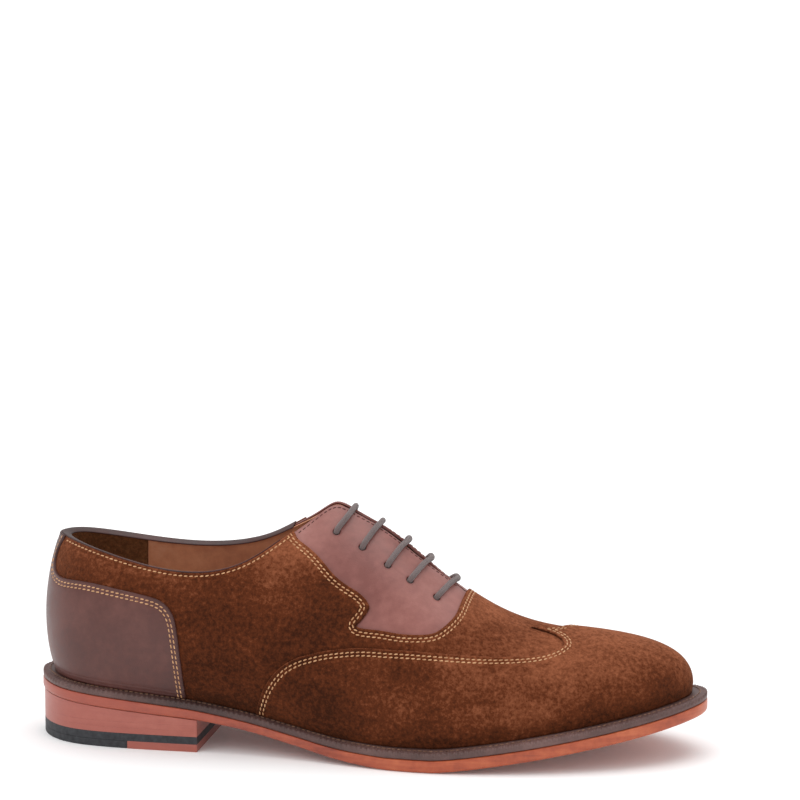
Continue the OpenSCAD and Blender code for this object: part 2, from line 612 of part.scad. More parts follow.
// Corners are cut back this far, so that the lace bends round them
lace_bend = 0.62 * lace_d;
function rounded(p) = [for (i = [0:len(p) - 1]) each
    i == 0 || i == len(p) - 1 ? [p[i]]
    : let (back = unit(p[i - 1] - p[i]), on = unit(p[i + 1] - p[i]))
      acos(max(-1, min(1, -back * on))) < 30 ? [p[i]]
      : [p[i] + lace_bend * back, p[i] + lace_bend * on]];
function tangent(p, i) =
    unit((i > 0 ? unit(p[i] - p[i - 1]) : [0, 0, 0])
        + (i < len(p) - 1 ? unit(p[i + 1] - p[i]) : [0, 0, 0]));
// Normals carried along the route without twist
function carried(p, i, n) =
    let (t = tangent(p, i), m = unit(n - (n * t) * t))
    i == len(p) - 1 ? [m] : concat([m], carried(p, i + 1, m));

module cord(p, d, sides = 8) {
    normals = carried(p, 0, [0, 0.3, 1]);
    loft([for (i = [0:len(p) - 1])
        let (n = normals[i], b = cross(tangent(p, i), n))
        [for (k = [0:sides - 1]) p[i] + d / 2 * (cos(360 * k / sides) * n
            + sin(360 * k / sides) * b)]
    ]);
}

lace_points = rounded([for (r = ROUTE) route_point(r)]);
aglet_l = 14;
aglet_d = lace_d - 0.4;

module lace() color(LACE) cord(lace_points, lace_d);
// Hard tips that go on from the lace's two ends
module aglets() {
    last = len(lace_points) - 1;
    color(LACE) for (ends = [[lace_points[0], lace_points[1]],
        [lace_points[last], lace_points[last - 1]]]) {
        away = unit(ends[0] - ends[1]);
        cord([ends[0] + fit * away, ends[0] + (fit + aglet_l) * away], aglet_d);
    }
}

// ---- sole ----
module outsole()
    color(SOLE_LEATHER) slab(undef, function (x) sole_under(x), function (x) sole_over(x));

module welt()
    color(WELT) ring(undef, -welt_under, function (x) sole_over(x) + fit,
        function (x) welt_top(x));

module insole_rib()
    color(LINING) ring(-welt_under - butt, -welt_under - butt - rib_t,
        function (x) sole_over(x) + fit, function (x) welt_top(x) - fit);

// The insole lies inside the lining and rests on the rib
insole_inset = -lining_in + butt;
module insole()
    color(SOLE_LEATHER) slab(-insole_inset, function (x) welt_top(x) + fit,
        function (x) welt_top(x) + fit + insole_t);

sock_inset = insole_inset + butt;
module sock_lining()
    color(LINING) slab(-sock_inset, function (x) welt_top(x) + 2 * fit + insole_t,
        function (x) welt_top(x) + 2 * fit + insole_t + sock_t);

// The shank lies on the outsole through the waist, and the cork goes over it
cork_inset = welt_under + butt + rib_t + butt;
// The cork stops short of the toe, where the feather turns too tightly for its inset
cork_toe_u = 11.5;
shank_from_x = breast_x - 40;
module shank() {
    sections = 24;
    color(STEEL) loft([for (i = [0:sections])
        let (x = shank_from_x + shank_l * i / sections, z = sole_over(x) + fit, w = shank_w / 2)
        [for (c = [[-w, shank_t], [-w, 0], [w, 0], [w, shank_t]]) [x, shift_y + c.x, z + c.y]]
    ]);
}

module cork_filler() {
    over_shank = shank_t + 3 * fit;
    lift_from = shank_from_x - 6;
    lift_to = shank_from_x + shank_l + 6;
    // The underside steps up over the shank within a few millimetres
    function raised(x) = over_shank * (smooth((x - lift_from) / 5) - smooth((x - lift_to + 5) / 5));
    color(CORK) slab(-cork_inset, function (x) sole_over(x) + fit + raised(x),
        function (x) welt_top(x) - fit, to_x = outline(LATERAL, cork_toe_u, -cork_inset).x);
}

// ---- heel ----
heel_inset = 0.6;
// Plan of the heel between two x positions, open = undef takes in the back
function heel_plan(from_x, to_x) =
    let (
        off = function (u) curve(WELT_SHOWS, u) - heel_inset,
        half = function (side) let (
            u0 = is_undef(from_x) ? 0 : heel_u(side, from_x),
            u1 = heel_u(side, to_x),
            n = ceil((u1 - u0) / outline_step)
        ) [for (i = [0:n]) let (u = u0 + (u1 - u0) * i / n) outline(side, u, off(u))]
    )
    concat(half(LATERAL),
        [for (p = reversed(half(MEDIAL))) if (norm(p - half(LATERAL)[0]) > 0.01) p]);
function reversed(p) = [for (i = [len(p) - 1:-1:0]) p[i]];
function heel_u(side, x, lo = 0, hi = 6, tries = 24) =
    let (mid = (lo + hi) / 2)
    tries == 0 ? mid
    : outline(side, mid, curve(WELT_SHOWS, mid) - heel_inset).x < x
      ? heel_u(side, x, mid, hi, tries - 1)
    : heel_u(side, x, lo, mid, tries - 1);

rubber_z = toplift_t + fit;
lift_1_z = rubber_z + rubber_t + fit;
lift_2_z = lift_1_z + lift_t + fit;
wedge_z = lift_2_z + lift_t + fit;
insert_x = breast_x - insert_l;

module heel_piece(z, h, from_x, to_x)
    translate([0, 0, z]) linear_extrude(h) polygon(heel_plan(from_x, to_x));

// Nails hold the lifts, in a ring inside the heel's edge
nail_inset = 17;
front_nails_x = breast_x - insert_l + nail_d / 2;
function heel_spots(inset) = [for (s = [[LATERAL, 0], [LATERAL, 1.2], [MEDIAL, 1.2],
    [LATERAL, heel_u(LATERAL, front_nails_x)], [MEDIAL, heel_u(MEDIAL, front_nails_x)]])
    outline(s[0], s[1], -inset)];
module at_spots(spots) for (p = spots) translate([p.x, p.y, 0]) children();
nail_hole_d = nail_d + 0.1;
nail_under_seat = 1;
module nail_holes()
    at_spots(heel_spots(nail_inset)) translate([0, 0, rubber_z - 1])
        cylinder(h = heel_h + heel_rise, d = nail_hole_d, $fn = 24);

module heel_wedge()
    color(SOLE_LEATHER) difference() {
        heel_piece(wedge_z, heel_h + heel_rise, undef, breast_x);
        translate([breast_x, 0, heel_h - fit]) rotate([0, atan(heel_rise / heel_l), 0])
            translate([-1.5 * heel_l, -ball_w / 2, 0]) cube([2 * heel_l, ball_w, 3 * heel_h]);
        nail_holes();
    }
module heel_lift(z)
    color(SOLE_LEATHER) difference() {
        heel_piece(z, lift_t, undef, breast_x);
        nail_holes();
    }
module heel_lift_upper() heel_lift(lift_2_z);
module heel_lift_lower() heel_lift(lift_1_z);
module heel_rubber()
    color(BLACK_RUBBER) difference() {
        heel_piece(rubber_z, rubber_t, undef, breast_x);
        nail_holes();
    }

module heel_nails()
    color(STEEL) for (p = heel_spots(nail_inset)) translate([p.x, p.y, rubber_z])
        cylinder(h = seat_z(p.x) - nail_under_seat - rubber_z, d = nail_d, $fn = 24);

// The walking surface: rubber behind, leather in front
brad_inset = 2;
brad_spots = [for (s = [[LATERAL, 0], [LATERAL, 0.8], [MEDIAL, 0.8], [LATERAL, 1.5], [MEDIAL, 1.5]])
    outline(s[0], s[1], -brad_inset)];
module toplift_rubber()
    color(BLACK_RUBBER) difference() {
        heel_piece(0, toplift_t, undef, insert_x - fit);
        at_spots(brad_spots) translate([0, 0, -1])
            cylinder(h = toplift_t + 2, d = brad_d + 0.1, $fn = 24);
    }
module toplift_leather() color(SOLE_LEATHER) heel_piece(0, toplift_t, insert_x, breast_x);
module toplift_brads()
    color(BRASS) at_spots(brad_spots) cylinder(h = toplift_t, d = brad_d, $fn = 24);

suede_body();
wing_cap();
heel_foxing();
facing_lateral();
facing_medial();
topline_binding();
quarter_lining_lateral();
quarter_lining_medial();
vamp_lining();
heel_grip();
toe_puff();
heel_stiffener();
tongue();
tongue_lining();
lace();
aglets();
welt();
insole_rib();
insole();
sock_lining();
cork_filler();
shank();
outsole();
heel_wedge();
heel_lift_upper();
heel_lift_lower();
heel_rubber();
toplift_rubber();
toplift_leather();
heel_nails();
toplift_brads();
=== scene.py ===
import math

import bpy
import numpy as np
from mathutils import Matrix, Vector, kdtree
from mathutils.geometry import delaunay_2d_cdt


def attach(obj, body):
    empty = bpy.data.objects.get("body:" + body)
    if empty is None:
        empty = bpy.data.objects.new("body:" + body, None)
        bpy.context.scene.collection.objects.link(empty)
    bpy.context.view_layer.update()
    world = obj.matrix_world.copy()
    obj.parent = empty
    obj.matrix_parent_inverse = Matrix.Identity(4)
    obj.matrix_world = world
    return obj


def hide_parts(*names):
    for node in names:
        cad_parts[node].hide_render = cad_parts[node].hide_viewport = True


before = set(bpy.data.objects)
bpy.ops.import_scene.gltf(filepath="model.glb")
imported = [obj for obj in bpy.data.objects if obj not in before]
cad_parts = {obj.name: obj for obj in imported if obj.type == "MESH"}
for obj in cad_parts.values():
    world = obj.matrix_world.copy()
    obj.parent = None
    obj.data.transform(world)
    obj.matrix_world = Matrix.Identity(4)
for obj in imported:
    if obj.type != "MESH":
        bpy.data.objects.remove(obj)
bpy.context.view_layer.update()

# A right-foot oxford shoe: suede body and wing cap, smooth leather facings and counter,
# closed lacing, welted leather sole and stacked heel. Lengths are in millimetres until
# a mesh is made.
MM = 0.001

# ---- camera ----
# A long lens at table height, a little towards the toe from square to the outer side.
bpy.ops.object.select_all(action="DESELECT")
bpy.ops.object.camera_add(
    location=(0.2391, -1.3443, 0.356),
    rotation=(math.radians(90 - 8.42), 0, math.radians(9.5)),
)
camera = bpy.context.object
camera.name = "camera"
camera.data.lens = 141
bpy.context.scene.camera = camera

# ---- lace ----
# One round waxed cotton lace, 2.6 mm thick and braided, in five straight bars. Its two
# ends are tucked away between the facings and the tongue, so it is held all the way.
# Everything on the upper lies on the surface of the last, so the last is set up here:
# RIBS are its cross-sections from the heel back (u = 0) to the toe tip (u = 13), and t
# runs up a rib from the welt (0) to the topline, throat or spine (1).
OUTSIDE, INSIDE = 0, 1
SIDES = (OUTSIDE, INSIDE)
NAMED_SIDES = ((OUTSIDE, "lateral"), (INSIDE, "medial"))
# Each rib: feather, two belly points and top, as x, y outside, y inside, heights outside and inside
RIBS = [
    [(-143.5, 0, 0, 0, 0), (-150.8, 0, 0, 20, 20), (-147.5, 0, 0, 45, 45), (-140.2, 0, 0, 62.4, 62.4)],
    [(-134, -20.5, 20.5, 0, 0), (-138.5, -25, 25, 19, 19), (-136.8, -20.5, 20.5, 45, 45), (-133.2, -14, 14, 62.5, 62)],
    [(-115, -29, 28, 0, 0), (-116, -35, 34.5, 20, 20), (-116, -33.5, 32.5, 43.5, 43.5), (-114, -26.5, 26.5, 60.5, 59)],
    [(-83, -31.5, 29, 0, 0), (-83, -38, 36, 18.5, 18.5), (-83, -39, 36.5, 40, 40), (-82, -32.5, 31, 57, 58)],
    [(-50, -33, 27, 0, 0), (-50, -40.5, 36, 18, 18), (-51, -42, 38, 47, 47), (-50, -30, 28, 65, 67.5)],
    [(-23, -37, 28.5, 0, 0), (-23, -44, 38, 16, 16), (-24, -43, 37, 61, 61), (-24, -7, 7.5, 88.5, 89)],
    [(2, -42.5, 33, 0, 0), (2, -48.5, 42, 16, 16), (0, -40, 35, 76, 76), (2, -3, 3, 91.5, 91.5)],
    [(28, -46.5, 38.5, 0, 0), (28, -52, 46, 17, 17), (27, -37, 32, 69.5, 69.5), (27, -4, 4, 73.5, 73.5)],
    [(54, -45.5, 41.5, 0, 0), (54, -50.5, 47.5, 18, 18), (54, -33, 29, 50.5, 50.5), (54, 0, 0, 53, 53)],
    [(82, -40.5, 41.5, 0, 0), (82, -45, 46.5, 16, 16), (80, -28.5, 28.5, 38.5, 38.5), (77, 0, 0, 41, 41)],
    [(107.5, -31.5, 35, 0, 0), (109.5, -36, 40, 16, 16), (104, -23.5, 26.5, 31.5, 31.5), (96, 0, 0, 36, 36)],
    [(128, -20, 23.5, 0, 0), (131, -23, 27, 17, 17), (120.5, -14.5, 17.5, 27.5, 27.5), (107, 0, 0, 32.2, 32.2)],
    [(139.5, -8.5, 10.5, 0, 0), (143, -9, 11, 16, 16), (129, -7, 8, 24.6, 24.6), (113, 0, 0, 30, 30)],
    [(142.6, 0, 0, 0, 0), (146, 0, 0, 15, 15), (132, 0, 0, 23.8, 23.8), (115, 0, 0, 29.2, 29.2)],
]
LAST_RIB = 13
THROAT_U = 7.6
# The tops of the facings stand up a little from the line of the instep
FACING_RISE, RISE_U, RISE_SPREAD = 4.4, 5.36, 0.36
OVER_TO_CENTRE = 2.2
HEEL_H, HEEL_RISE, HEEL_L, BREAST_X = 14.4, 6.1, 79.5, -71.0
TOE_SPRING = 19.4
WELT_T = 3.5
FIT = 0.12


def curve(points, x):
    """A smooth curve through [x, value] points."""
    px, py = np.array(points, float).T
    slope = np.empty_like(py)
    slope[1:-1] = (py[2:] - py[:-2]) / (px[2:] - px[:-2])
    slope[0], slope[-1] = (py[1] - py[0]) / (px[1] - px[0]), (py[-1] - py[-2]) / (px[-1] - px[-2])
    i = np.clip(np.searchsorted(px, x, side="right") - 1, 0, len(px) - 2)
    h = px[i + 1] - px[i]
    q = (x - px[i]) / h
    return (
        (2 * q**3 - 3 * q**2 + 1) * py[i]
        + (q**3 - 2 * q**2 + q) * h * slope[i]
        + (3 * q**2 - 2 * q**3) * py[i + 1]
        + (q**3 - q**2) * h * slope[i + 1]
    )


def seat_z(x):
    return HEEL_H + HEEL_RISE * (BREAST_X - x) / HEEL_L


SEAT_ENDS_X = BREAST_X - 20
SOLE_LINE = [
    (SEAT_ENDS_X, seat_z(SEAT_ENDS_X)), (BREAST_X, HEEL_H),
    (-50, 0.78 * HEEL_H), (-28, 0.46 * HEEL_H), (-6, 0.15 * HEEL_H), (16, 0), (36, 0),
    (62, 0.165 * TOE_SPRING), (92, 0.41 * TOE_SPRING), (122, 0.69 * TOE_SPRING), (150.5, TOE_SPRING),
]
OUTSOLE_LINE = [(-150, 5.0), (-95, 4.8), (-60, 4), (-25, 4.2), (15, 5.4), (60, 5.4), (150, 5.4)]


def sole_under(x):
    return np.where(x < SEAT_ENDS_X, seat_z(x), np.maximum(0, curve(SOLE_LINE, x)))


def sole_over(x):
    return sole_under(x) + curve(OUTSOLE_LINE, x)


def welt_top(x):
    return sole_over(x) + WELT_T


def knots(side):
    r = np.array([[(p[0], p[1 + side], p[3 + side]) for p in rib] for rib in RIBS], float)
    r[:, :, 2] += welt_top(r[:, :, 0])
    r[:, 0, 2] += FIT
    return r


def spline(own, other):
    """Coefficients that make a spline run through the ribs and on into the other side's."""
    ext = np.concatenate([other[2:0:-1], own, other[-2:-4:-1]])
    return (8 * ext[1:-1] - ext[:-2] - ext[2:]) / 6


COEFFS = [spline(knots(OUTSIDE), knots(INSIDE)), spline(knots(INSIDE), knots(OUTSIDE))]


def outward(side):
    return -1 if side == OUTSIDE else 1


def blend_ribs(side, u, weights):
    k = np.minimum(np.floor(u), LAST_RIB - 1).astype(int)
    near = COEFFS[side][k[:, None] + np.arange(4)]
    return np.einsum("nk,nkij->nij", weights(u - k), near)


def facing_rise(u):
    return FACING_RISE * np.exp(-(((u - RISE_U) / RISE_SPREAD) ** 2))


def rib(side, u):
    b = blend_ribs(side, u, lambda q: np.stack(
        [(1 - q) ** 3, 3 * q**3 - 6 * q**2 + 4, 1 + 3 * q + 3 * q**2 - 3 * q**3, q**3], 1) / 6)
    opening = np.clip(THROAT_U - u, 0, 1)
    half = np.maximum(0.6, np.abs(b[:, 3, 1]) * opening**2 * (3 - 2 * opening))
    half = np.where(u > THROAT_U - 1e-4, 0, half)
    b[:, 3, 1] = np.where(u < 5.5, b[:, 3, 1], outward(side) * half)
    b[:, 3, 2] += facing_rise(u)
    return b


def rib_slope(side, u):
    b = blend_ribs(side, u, lambda q: np.stack(
        [-((1 - q) ** 2), 3 * q**2 - 4 * q, 1 + 2 * q - 3 * q**2, q**2], 1) / 2)
    b[:, 3, 2] += facing_rise(u) * 2 * (RISE_U - u) / RISE_SPREAD**2
    return b


def bezier(b, t):
    t = t[:, None]
    q = 1 - t
    return q**3 * b[:, 0] + 3 * t * q**2 * b[:, 1] + 3 * t**2 * q * b[:, 2] + t**3 * b[:, 3]


def bezier_slope(b, t):
    t = t[:, None]
    q = 1 - t
    return 3 * q**2 * (b[:, 1] - b[:, 0]) + 6 * t * q * (b[:, 2] - b[:, 1]) + 3 * t**2 * (b[:, 3] - b[:, 2])


def unit(v):
    return v / np.maximum(np.linalg.norm(v, axis=-1, keepdims=True), 1e-9)


def own_normal(side, u, t):
    h = np.minimum(t, 0.99)
    return unit(-outward(side) * np.cross(bezier(rib_slope(side, u), h), bezier_slope(rib(side, u), h)))


def normal(side, u, t):
    n = own_normal(side, u, t)
    seam = (u < 1e-4) | (u > LAST_RIB - 1e-4) | ((t > 0.9999) & (u > THROAT_U - 1e-4))
    return np.where(seam[:, None], unit(n + own_normal(1 - side, u, t)), n)


def surf(side, u, t, d):
    """Points d outside the last. The foot of every layer stands on the welt."""
    u, t = np.broadcast_arrays(np.atleast_1d(np.asarray(u, float)), np.atleast_1d(np.asarray(t, float)))
    d = np.broadcast_to(np.asarray(d, float), u.shape)
    b = rib(side, u)
    p = bezier(b, t) + d[:, None] * normal(side, u, t)
    foot = b[:, 0] + d[:, None] * normal(side, u, np.zeros_like(t))
    drop = welt_top(foot[:, 0]) + FIT - foot[:, 2]
    p[:, 2] += np.where(t < 0.15, drop * (1 - t / 0.15), 0)
    s = outward(side)
    held = (u > 6.9) & (u < THROAT_U)
    p[:, 1] = np.where(held, s * np.maximum(s * p[:, 1], np.abs(b[:, 3, 1])), p[:, 1]) + OVER_TO_CENTRE
    return p


EYELETS = [(7.25, 0.8), (6.81, 0.806), (6.42, 0.818), (5.95, 0.852), (5.47, 0.888)]
LACE_D = 2.6
LACE_UNDER, LACE_OVER = -5.55, 0.2
CENTRE = 0.5


def over(side, i):
    return (side, *EYELETS[i], LACE_OVER)


def under(side, i):
    return (side, *EYELETS[i], LACE_UNDER)


def bar(i, side):
    """A bar crosses square to the throat, so its crest leans towards the toe."""
    u = EYELETS[i][0]
    return [over(side, i), (side, u + 0.14, 0.95, LACE_OVER + 0.9), (CENTRE, u + 0.2, 1, LACE_OVER + 1.2),
            (1 - side, u + 0.14, 0.95, LACE_OVER + 0.9), over(1 - side, i)]


def beside(side, u, t, rise=0.0):
    return (side, u, t, LACE_UNDER + rise)


ROUTE = (
    [beside(OUTSIDE, 6.7, 0.66, -1.6), beside(OUTSIDE, 6.45, 0.67, -1), beside(OUTSIDE, 6.1, 0.685, -0.3),
     beside(OUTSIDE, 5.6, 0.74), beside(OUTSIDE, 5.22, 0.83), beside(OUTSIDE, 5.14, 0.93),
     beside(OUTSIDE, 5.4, 0.98), beside(OUTSIDE, 5.7, 0.95), under(OUTSIDE, 3)]
    + bar(3, OUTSIDE)
    + [under(INSIDE, 3), beside(INSIDE, 6.53, 0.76), beside(INSIDE, 6.31, 0.76),
       beside(INSIDE, 6.65, 0.742), under(INSIDE, 1)]
    + bar(1, INSIDE)
    + [under(OUTSIDE, 1), under(OUTSIDE, 0)]
    + bar(0, OUTSIDE)
    + [under(INSIDE, 0), beside(INSIDE, 6.95, 0.88), beside(INSIDE, 6.65, 0.9), under(INSIDE, 2)]
    + bar(2, INSIDE)
    + [under(OUTSIDE, 2), beside(OUTSIDE, 6.15, 0.78), beside(OUTSIDE, 5.8, 0.79), under(OUTSIDE, 4)]
    + bar(4, OUTSIDE)
    + [under(INSIDE, 4), beside(INSIDE, 5.25, 0.9), beside(INSIDE, 5.15, 0.83), beside(INSIDE, 5.4, 0.76),
       beside(INSIDE, 5.9, 0.72), beside(INSIDE, 6.3, 0.685, -0.3), beside(INSIDE, 6.65, 0.67, -1),
       beside(INSIDE, 6.9, 0.66, -1.6)]
)


def route_point(side, u, t, d):
    if side == CENTRE:
        return (surf(OUTSIDE, u, t, d)[0] + surf(INSIDE, u, t, d)[0]) / 2
    return surf(side, u, t, d)[0]


def cut_corners(points, times):
    """Rounds a row of points off, as a cord rounds its bends."""
    for _ in range(times):
        a, b = points[:-1], points[1:]
        cut = np.stack([0.8 * a + 0.2 * b, 0.2 * a + 0.8 * b], 1).reshape(-1, 3)
        points = np.concatenate([points[:1], cut, points[-1:]])
    return points


def spaced(points, step):
    """The same path with its points an even step apart."""
    run = np.concatenate([[0], np.cumsum(np.linalg.norm(np.diff(points, axis=0), axis=1))])
    at = np.linspace(0, run[-1], max(2, round(run[-1] / step) + 1))
    return np.stack([np.interp(at, run, points[:, k]) for k in range(points.shape[1])], 1)


def add_piece(name, verts, faces, material, smooth_angle=40):
    """Makes a mesh of points in millimetres a piece of the shoe, at the origin."""
    mesh = bpy.data.meshes.new(name)
    mesh.from_pydata((np.asarray(verts) * MM).tolist(), [], [tuple(map(int, f)) for f in faces])
    mesh.validate()
    piece = bpy.data.objects.new(name, mesh)
    bpy.context.scene.collection.objects.link(piece)
    bpy.ops.object.select_all(action="DESELECT")
    piece.select_set(True)
    bpy.context.view_layer.objects.active = piece
    bpy.ops.object.shade_smooth_by_angle(angle=math.radians(smooth_angle))
    mesh.materials.append(material)
    return piece


def belongs(piece, body, slot, *nodes):
    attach(piece, body)
    if nodes:
        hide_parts(*nodes)


def sweep(rings, closed=False):
    """Faces of a tube through rings of as many points each; open ends get a cap."""
    n, m = len(rings), len(rings[0])
    faces = []
    for i in range(n if closed else n - 1):
        for k in range(m):
            a, b = i * m + k, i * m + (k + 1) % m
            c, d = (i + 1) % n * m + (k + 1) % m, (i + 1) % n * m + k
            faces.append((a, b, c, d))
    if not closed:
        faces += [tuple(range(m))[::-1], tuple(range((n - 1) * m, n * m))]
    return faces


def tube_rings(points, radius, sides):
    """Rings round a path, carried along without twist."""
    along = unit(np.gradient(points, axis=0))
    n = np.array([0, 0.3, 1.0])
    rings = []
    for p, t, r in zip(points, along, np.broadcast_to(radius, len(points))):
        n = unit(n - (n @ t) * t)
        b = np.cross(t, n)
        angles = np.arange(sides) * 2 * np.pi / sides
        rings.append(p + r * (np.cos(angles)[:, None] * n + np.sin(angles)[:, None] * b))
    return np.array(rings)


def linear(hex_colour):
    """sRGB hex to the linear colour a shader takes."""
    c = [int(hex_colour[i:i + 2], 16) / 255 for i in (1, 3, 5)]
    return (*[v / 12.92 if v <= 0.04045 else ((v + 0.055) / 1.055) ** 2.4 for v in c], 1.0)


def node(tree, kind, links=None, **settings):
    """Adds one shader node; links maps its input names or numbers to sockets or to values."""
    n = tree.nodes.new("ShaderNode" + kind)
    for key, value in settings.items():
        setattr(n, key, value)
    for key, value in (links or {}).items():
        if isinstance(value, bpy.types.NodeSocket):
            tree.links.new(value, n.inputs[key])
        else:
            n.inputs[key].default_value = value
    return n


def material(name):
    """A new material with its tree, its Principled shader and the object's coordinates."""
    made = bpy.data.materials.new(name)
    made.use_nodes = True
    tree = made.node_tree
    shader = tree.nodes["Principled BSDF"]
    return made, tree, shader, node(tree, "TexCoord").outputs["Object"]


def set_shader(shader, **values):
    for key, value in values.items():
        shader.inputs[key.replace("_", " ")].default_value = value


def ramp(tree, factor, *stops):
    """A colour ramp through (place, colour) stops."""
    r = node(tree, "ValToRGB", {"Fac": factor})
    while len(r.color_ramp.elements) < len(stops):
        r.color_ramp.elements.new(0.5)
    for element, (place, colour) in zip(r.color_ramp.elements, stops):
        element.position = place
        element.color = linear(colour)
    return r.outputs["Color"]


def noise(tree, vector, size_mm, detail=2.0, roughness=0.5):
    """Noise whose blotches are about size_mm across."""
    return node(tree, "TexNoise", {"Vector": vector, "Scale": 500 / size_mm,
                                   "Detail": detail, "Roughness": roughness}).outputs["Fac"]


def maths(tree, operation, *values, **settings):
    return node(tree, "Math", dict(enumerate(values)), operation=operation, **settings).outputs[0]


def weighted(tree, total, *parts):
    """Adds each (value, weight) to a total."""
    for value, weight in parts:
        total = maths(tree, "MULTIPLY_ADD", value, weight, total)
    return total


def remap(tree, value, *limits):
    """A value taken from one range to another, which is 0 to 1 unless it is given."""
    return node(tree, "MapRange", dict(enumerate((value, *limits)))).outputs[0]


def dye(tree, shader, factor, *stops):
    tree.links.new(ramp(tree, factor, *stops), shader.inputs["Base Color"])


def bump(tree, shader, height, strength, depth_mm):
    made = node(tree, "Bump", {"Height": height, "Strength": strength, "Distance": depth_mm * MM})
    tree.links.new(made.outputs[0], shader.inputs["Normal"])


# Braided cotton, waxed: crossing strands 1 mm wide, a dull grey-brown, with painted shade between the strands and a
# painted highlight on their crowns
waxed_cotton, tree, shader, where = material("waxed_cotton_braid")
braid_uv = node(tree, "UVMap", uv_map="braid").outputs["UV"]
strand = [
    node(tree, "TexWave", {
        "Vector": node(tree, "Mapping", {"Vector": braid_uv, "Rotation": (0, 0, turn)}).outputs[0],
        "Scale": 0.9, "Distortion": 0.4,
    }, wave_type="BANDS").outputs["Fac"]
    for turn in (math.radians(50), math.radians(-50))
]
braid = maths(tree, "MAXIMUM", *strand)
# Painted shade in the gaps between strands and painted highlight on their crowns
dye(tree, shader, braid, (0.1, "#2f2423"), (0.6, "#574846"), (1.0, "#7d6b69"))
bump(tree, shader, braid, 0.6, 0.3)
set_shader(shader, Roughness=0.72, Sheen_Weight=0.25)

lace_path = cut_corners(np.array([route_point(*r) for r in ROUTE]), 3)
LACE_SIDES, LACE_STEP = 14, 0.7
lace_path = spaced(lace_path, LACE_STEP)
lace_rings = tube_rings(lace_path, LACE_D / 2, LACE_SIDES)
lace = add_piece("lace", lace_rings.reshape(-1, 3), sweep(lace_rings), waxed_cotton, 60)
braid_map = lace.data.uv_layers.new(name="braid")
for polygon in lace.data.polygons:
    around = [lace.data.loops[i].vertex_index % LACE_SIDES for i in polygon.loop_indices]
    wraps = max(around) - min(around) > LACE_SIDES / 2 and len(around) == 4
    for i, k in zip(polygon.loop_indices, around):
        ring = lace.data.loops[i].vertex_index // LACE_SIDES
        k += LACE_SIDES if wraps and k < LACE_SIDES / 2 else 0
        braid_map.data[i].uv = (ring * LACE_STEP, k / LACE_SIDES * math.pi * LACE_D)
belongs(lace, "shoe", "waxed_cotton", "lace")

# ---- suede body ----
# Vamp and quarters in one skin of brown suede, 1.2 mm thick, folded over at the topline
# and stitched down over the lace facings. Suede shows its nap in light and dark patches.
BODY_T = 1.2


def bent(points, steps=10):
    """A smooth line through pattern points, in [u, t]."""
    p = np.array(points, float)
    p = np.concatenate([2 * p[:1] - p[1:2], p, 2 * p[-1:] - p[-2:-1]])
    q = np.linspace(0, 1, steps, endpoint=False)[:, None]
    out = [
        0.5 * (2 * p[i] + (p[i + 1] - p[i - 1]) * q + (2 * p[i - 1] - 5 * p[i] + 4 * p[i + 1] - p[i + 2]) * q**2
               + (3 * p[i] - p[i - 1] - 3 * p[i + 1] + p[i + 2]) * q**3)
        for i in range(1, len(p) - 2)
    ]
    return np.concatenate(out + [p[-2:-1]])


def straight(a, b, steps=60):
    return np.array(a) + np.linspace(0, 1, steps)[:, None] * (np.array(b, float) - a)


def evened(side, line, step):
    """A pattern line with its points an even step apart over the leather."""
    at = np.linspace(0, 1, 600)
    fine = np.stack([np.interp(at, np.linspace(0, 1, len(line)), line[:, k]) for k in (0, 1)], 1)
    p = surf(side, fine[:, 0], fine[:, 1], 0)
    run = np.concatenate([[0], np.cumsum(np.linalg.norm(np.diff(p, axis=0), axis=1))])
    at = np.linspace(0, run[-1], max(2, round(run[-1] / step) + 1))
    return np.stack([np.interp(at, run, fine[:, k]) for k in (0, 1)], 1)


def moved(side, line, dist):
    """A pattern line moved over the leather to the left of its travel, by dist."""
    e = 1e-3
    u, t = np.clip(line[:, 0], e, LAST_RIB - e), np.clip(line[:, 1], e, 1 - e)
    su = (surf(side, u + e, t, 0) - surf(side, u - e, t, 0)) / (2 * e)
    st = (surf(side, u, t + e, 0) - surf(side, u, t - e, 0)) / (2 * e)
    E, F, G = (su * su).sum(1), (su * st).sum(1), (st * st).sum(1)
    du, dt = np.gradient(line[:, 0]), np.gradient(line[:, 1])
    length = np.sqrt(E * du**2 + 2 * F * du * dt + G * dt**2) * np.sqrt(np.maximum(E * G - F**2, 1e-6))
    shift = np.stack([-(F * du + G * dt), E * du + F * dt], 1) / np.maximum(length, 1e-9)[:, None]
    out = line + dist * shift
    # Where the line turns tighter than the distance, the points that fold back are dropped
    tree = near_tree(surf(side, line[:, 0], line[:, 1], 0))
    inside = (out[:, 0] >= 0) & (out[:, 0] <= LAST_RIB) & (out[:, 1] >= 0) & (out[:, 1] <= 1)
    p = surf(side, np.clip(out[:, 0], 0, LAST_RIB), np.clip(out[:, 1], 0, 1), 0)
    far = nearest(tree, p) > ROW_KEEPS * abs(dist)
    return out[inside & far]


def near_tree(points):
    tree = kdtree.KDTree(len(points))
    for i, p in enumerate(points):
        tree.insert(p, i)
    tree.balance()
    return tree


def nearest(tree, points):
    return np.array([tree.find(p)[2] for p in points])


def within(points, border):
    """Which points lie inside a closed border."""
    x, y = points.T
    inside = np.zeros(len(points), bool)
    for (ax, ay), (bx, by) in zip(border, np.roll(border, -1, axis=0)):
        if ay != by:
            crosses = (ay > y) != (by > y)
            inside ^= crosses & (x < (bx - ax) * (y - ay) / (by - ay) + ax)
    return inside


PATTERN = np.array([26.0, 85.0])
RING_DISTANCES = (0.2, 0.45, 0.9, 1.35, 1.8, 2.3, 2.8, 3.3, 3.8, 4.4)
EDGE_ROUND = 0.45
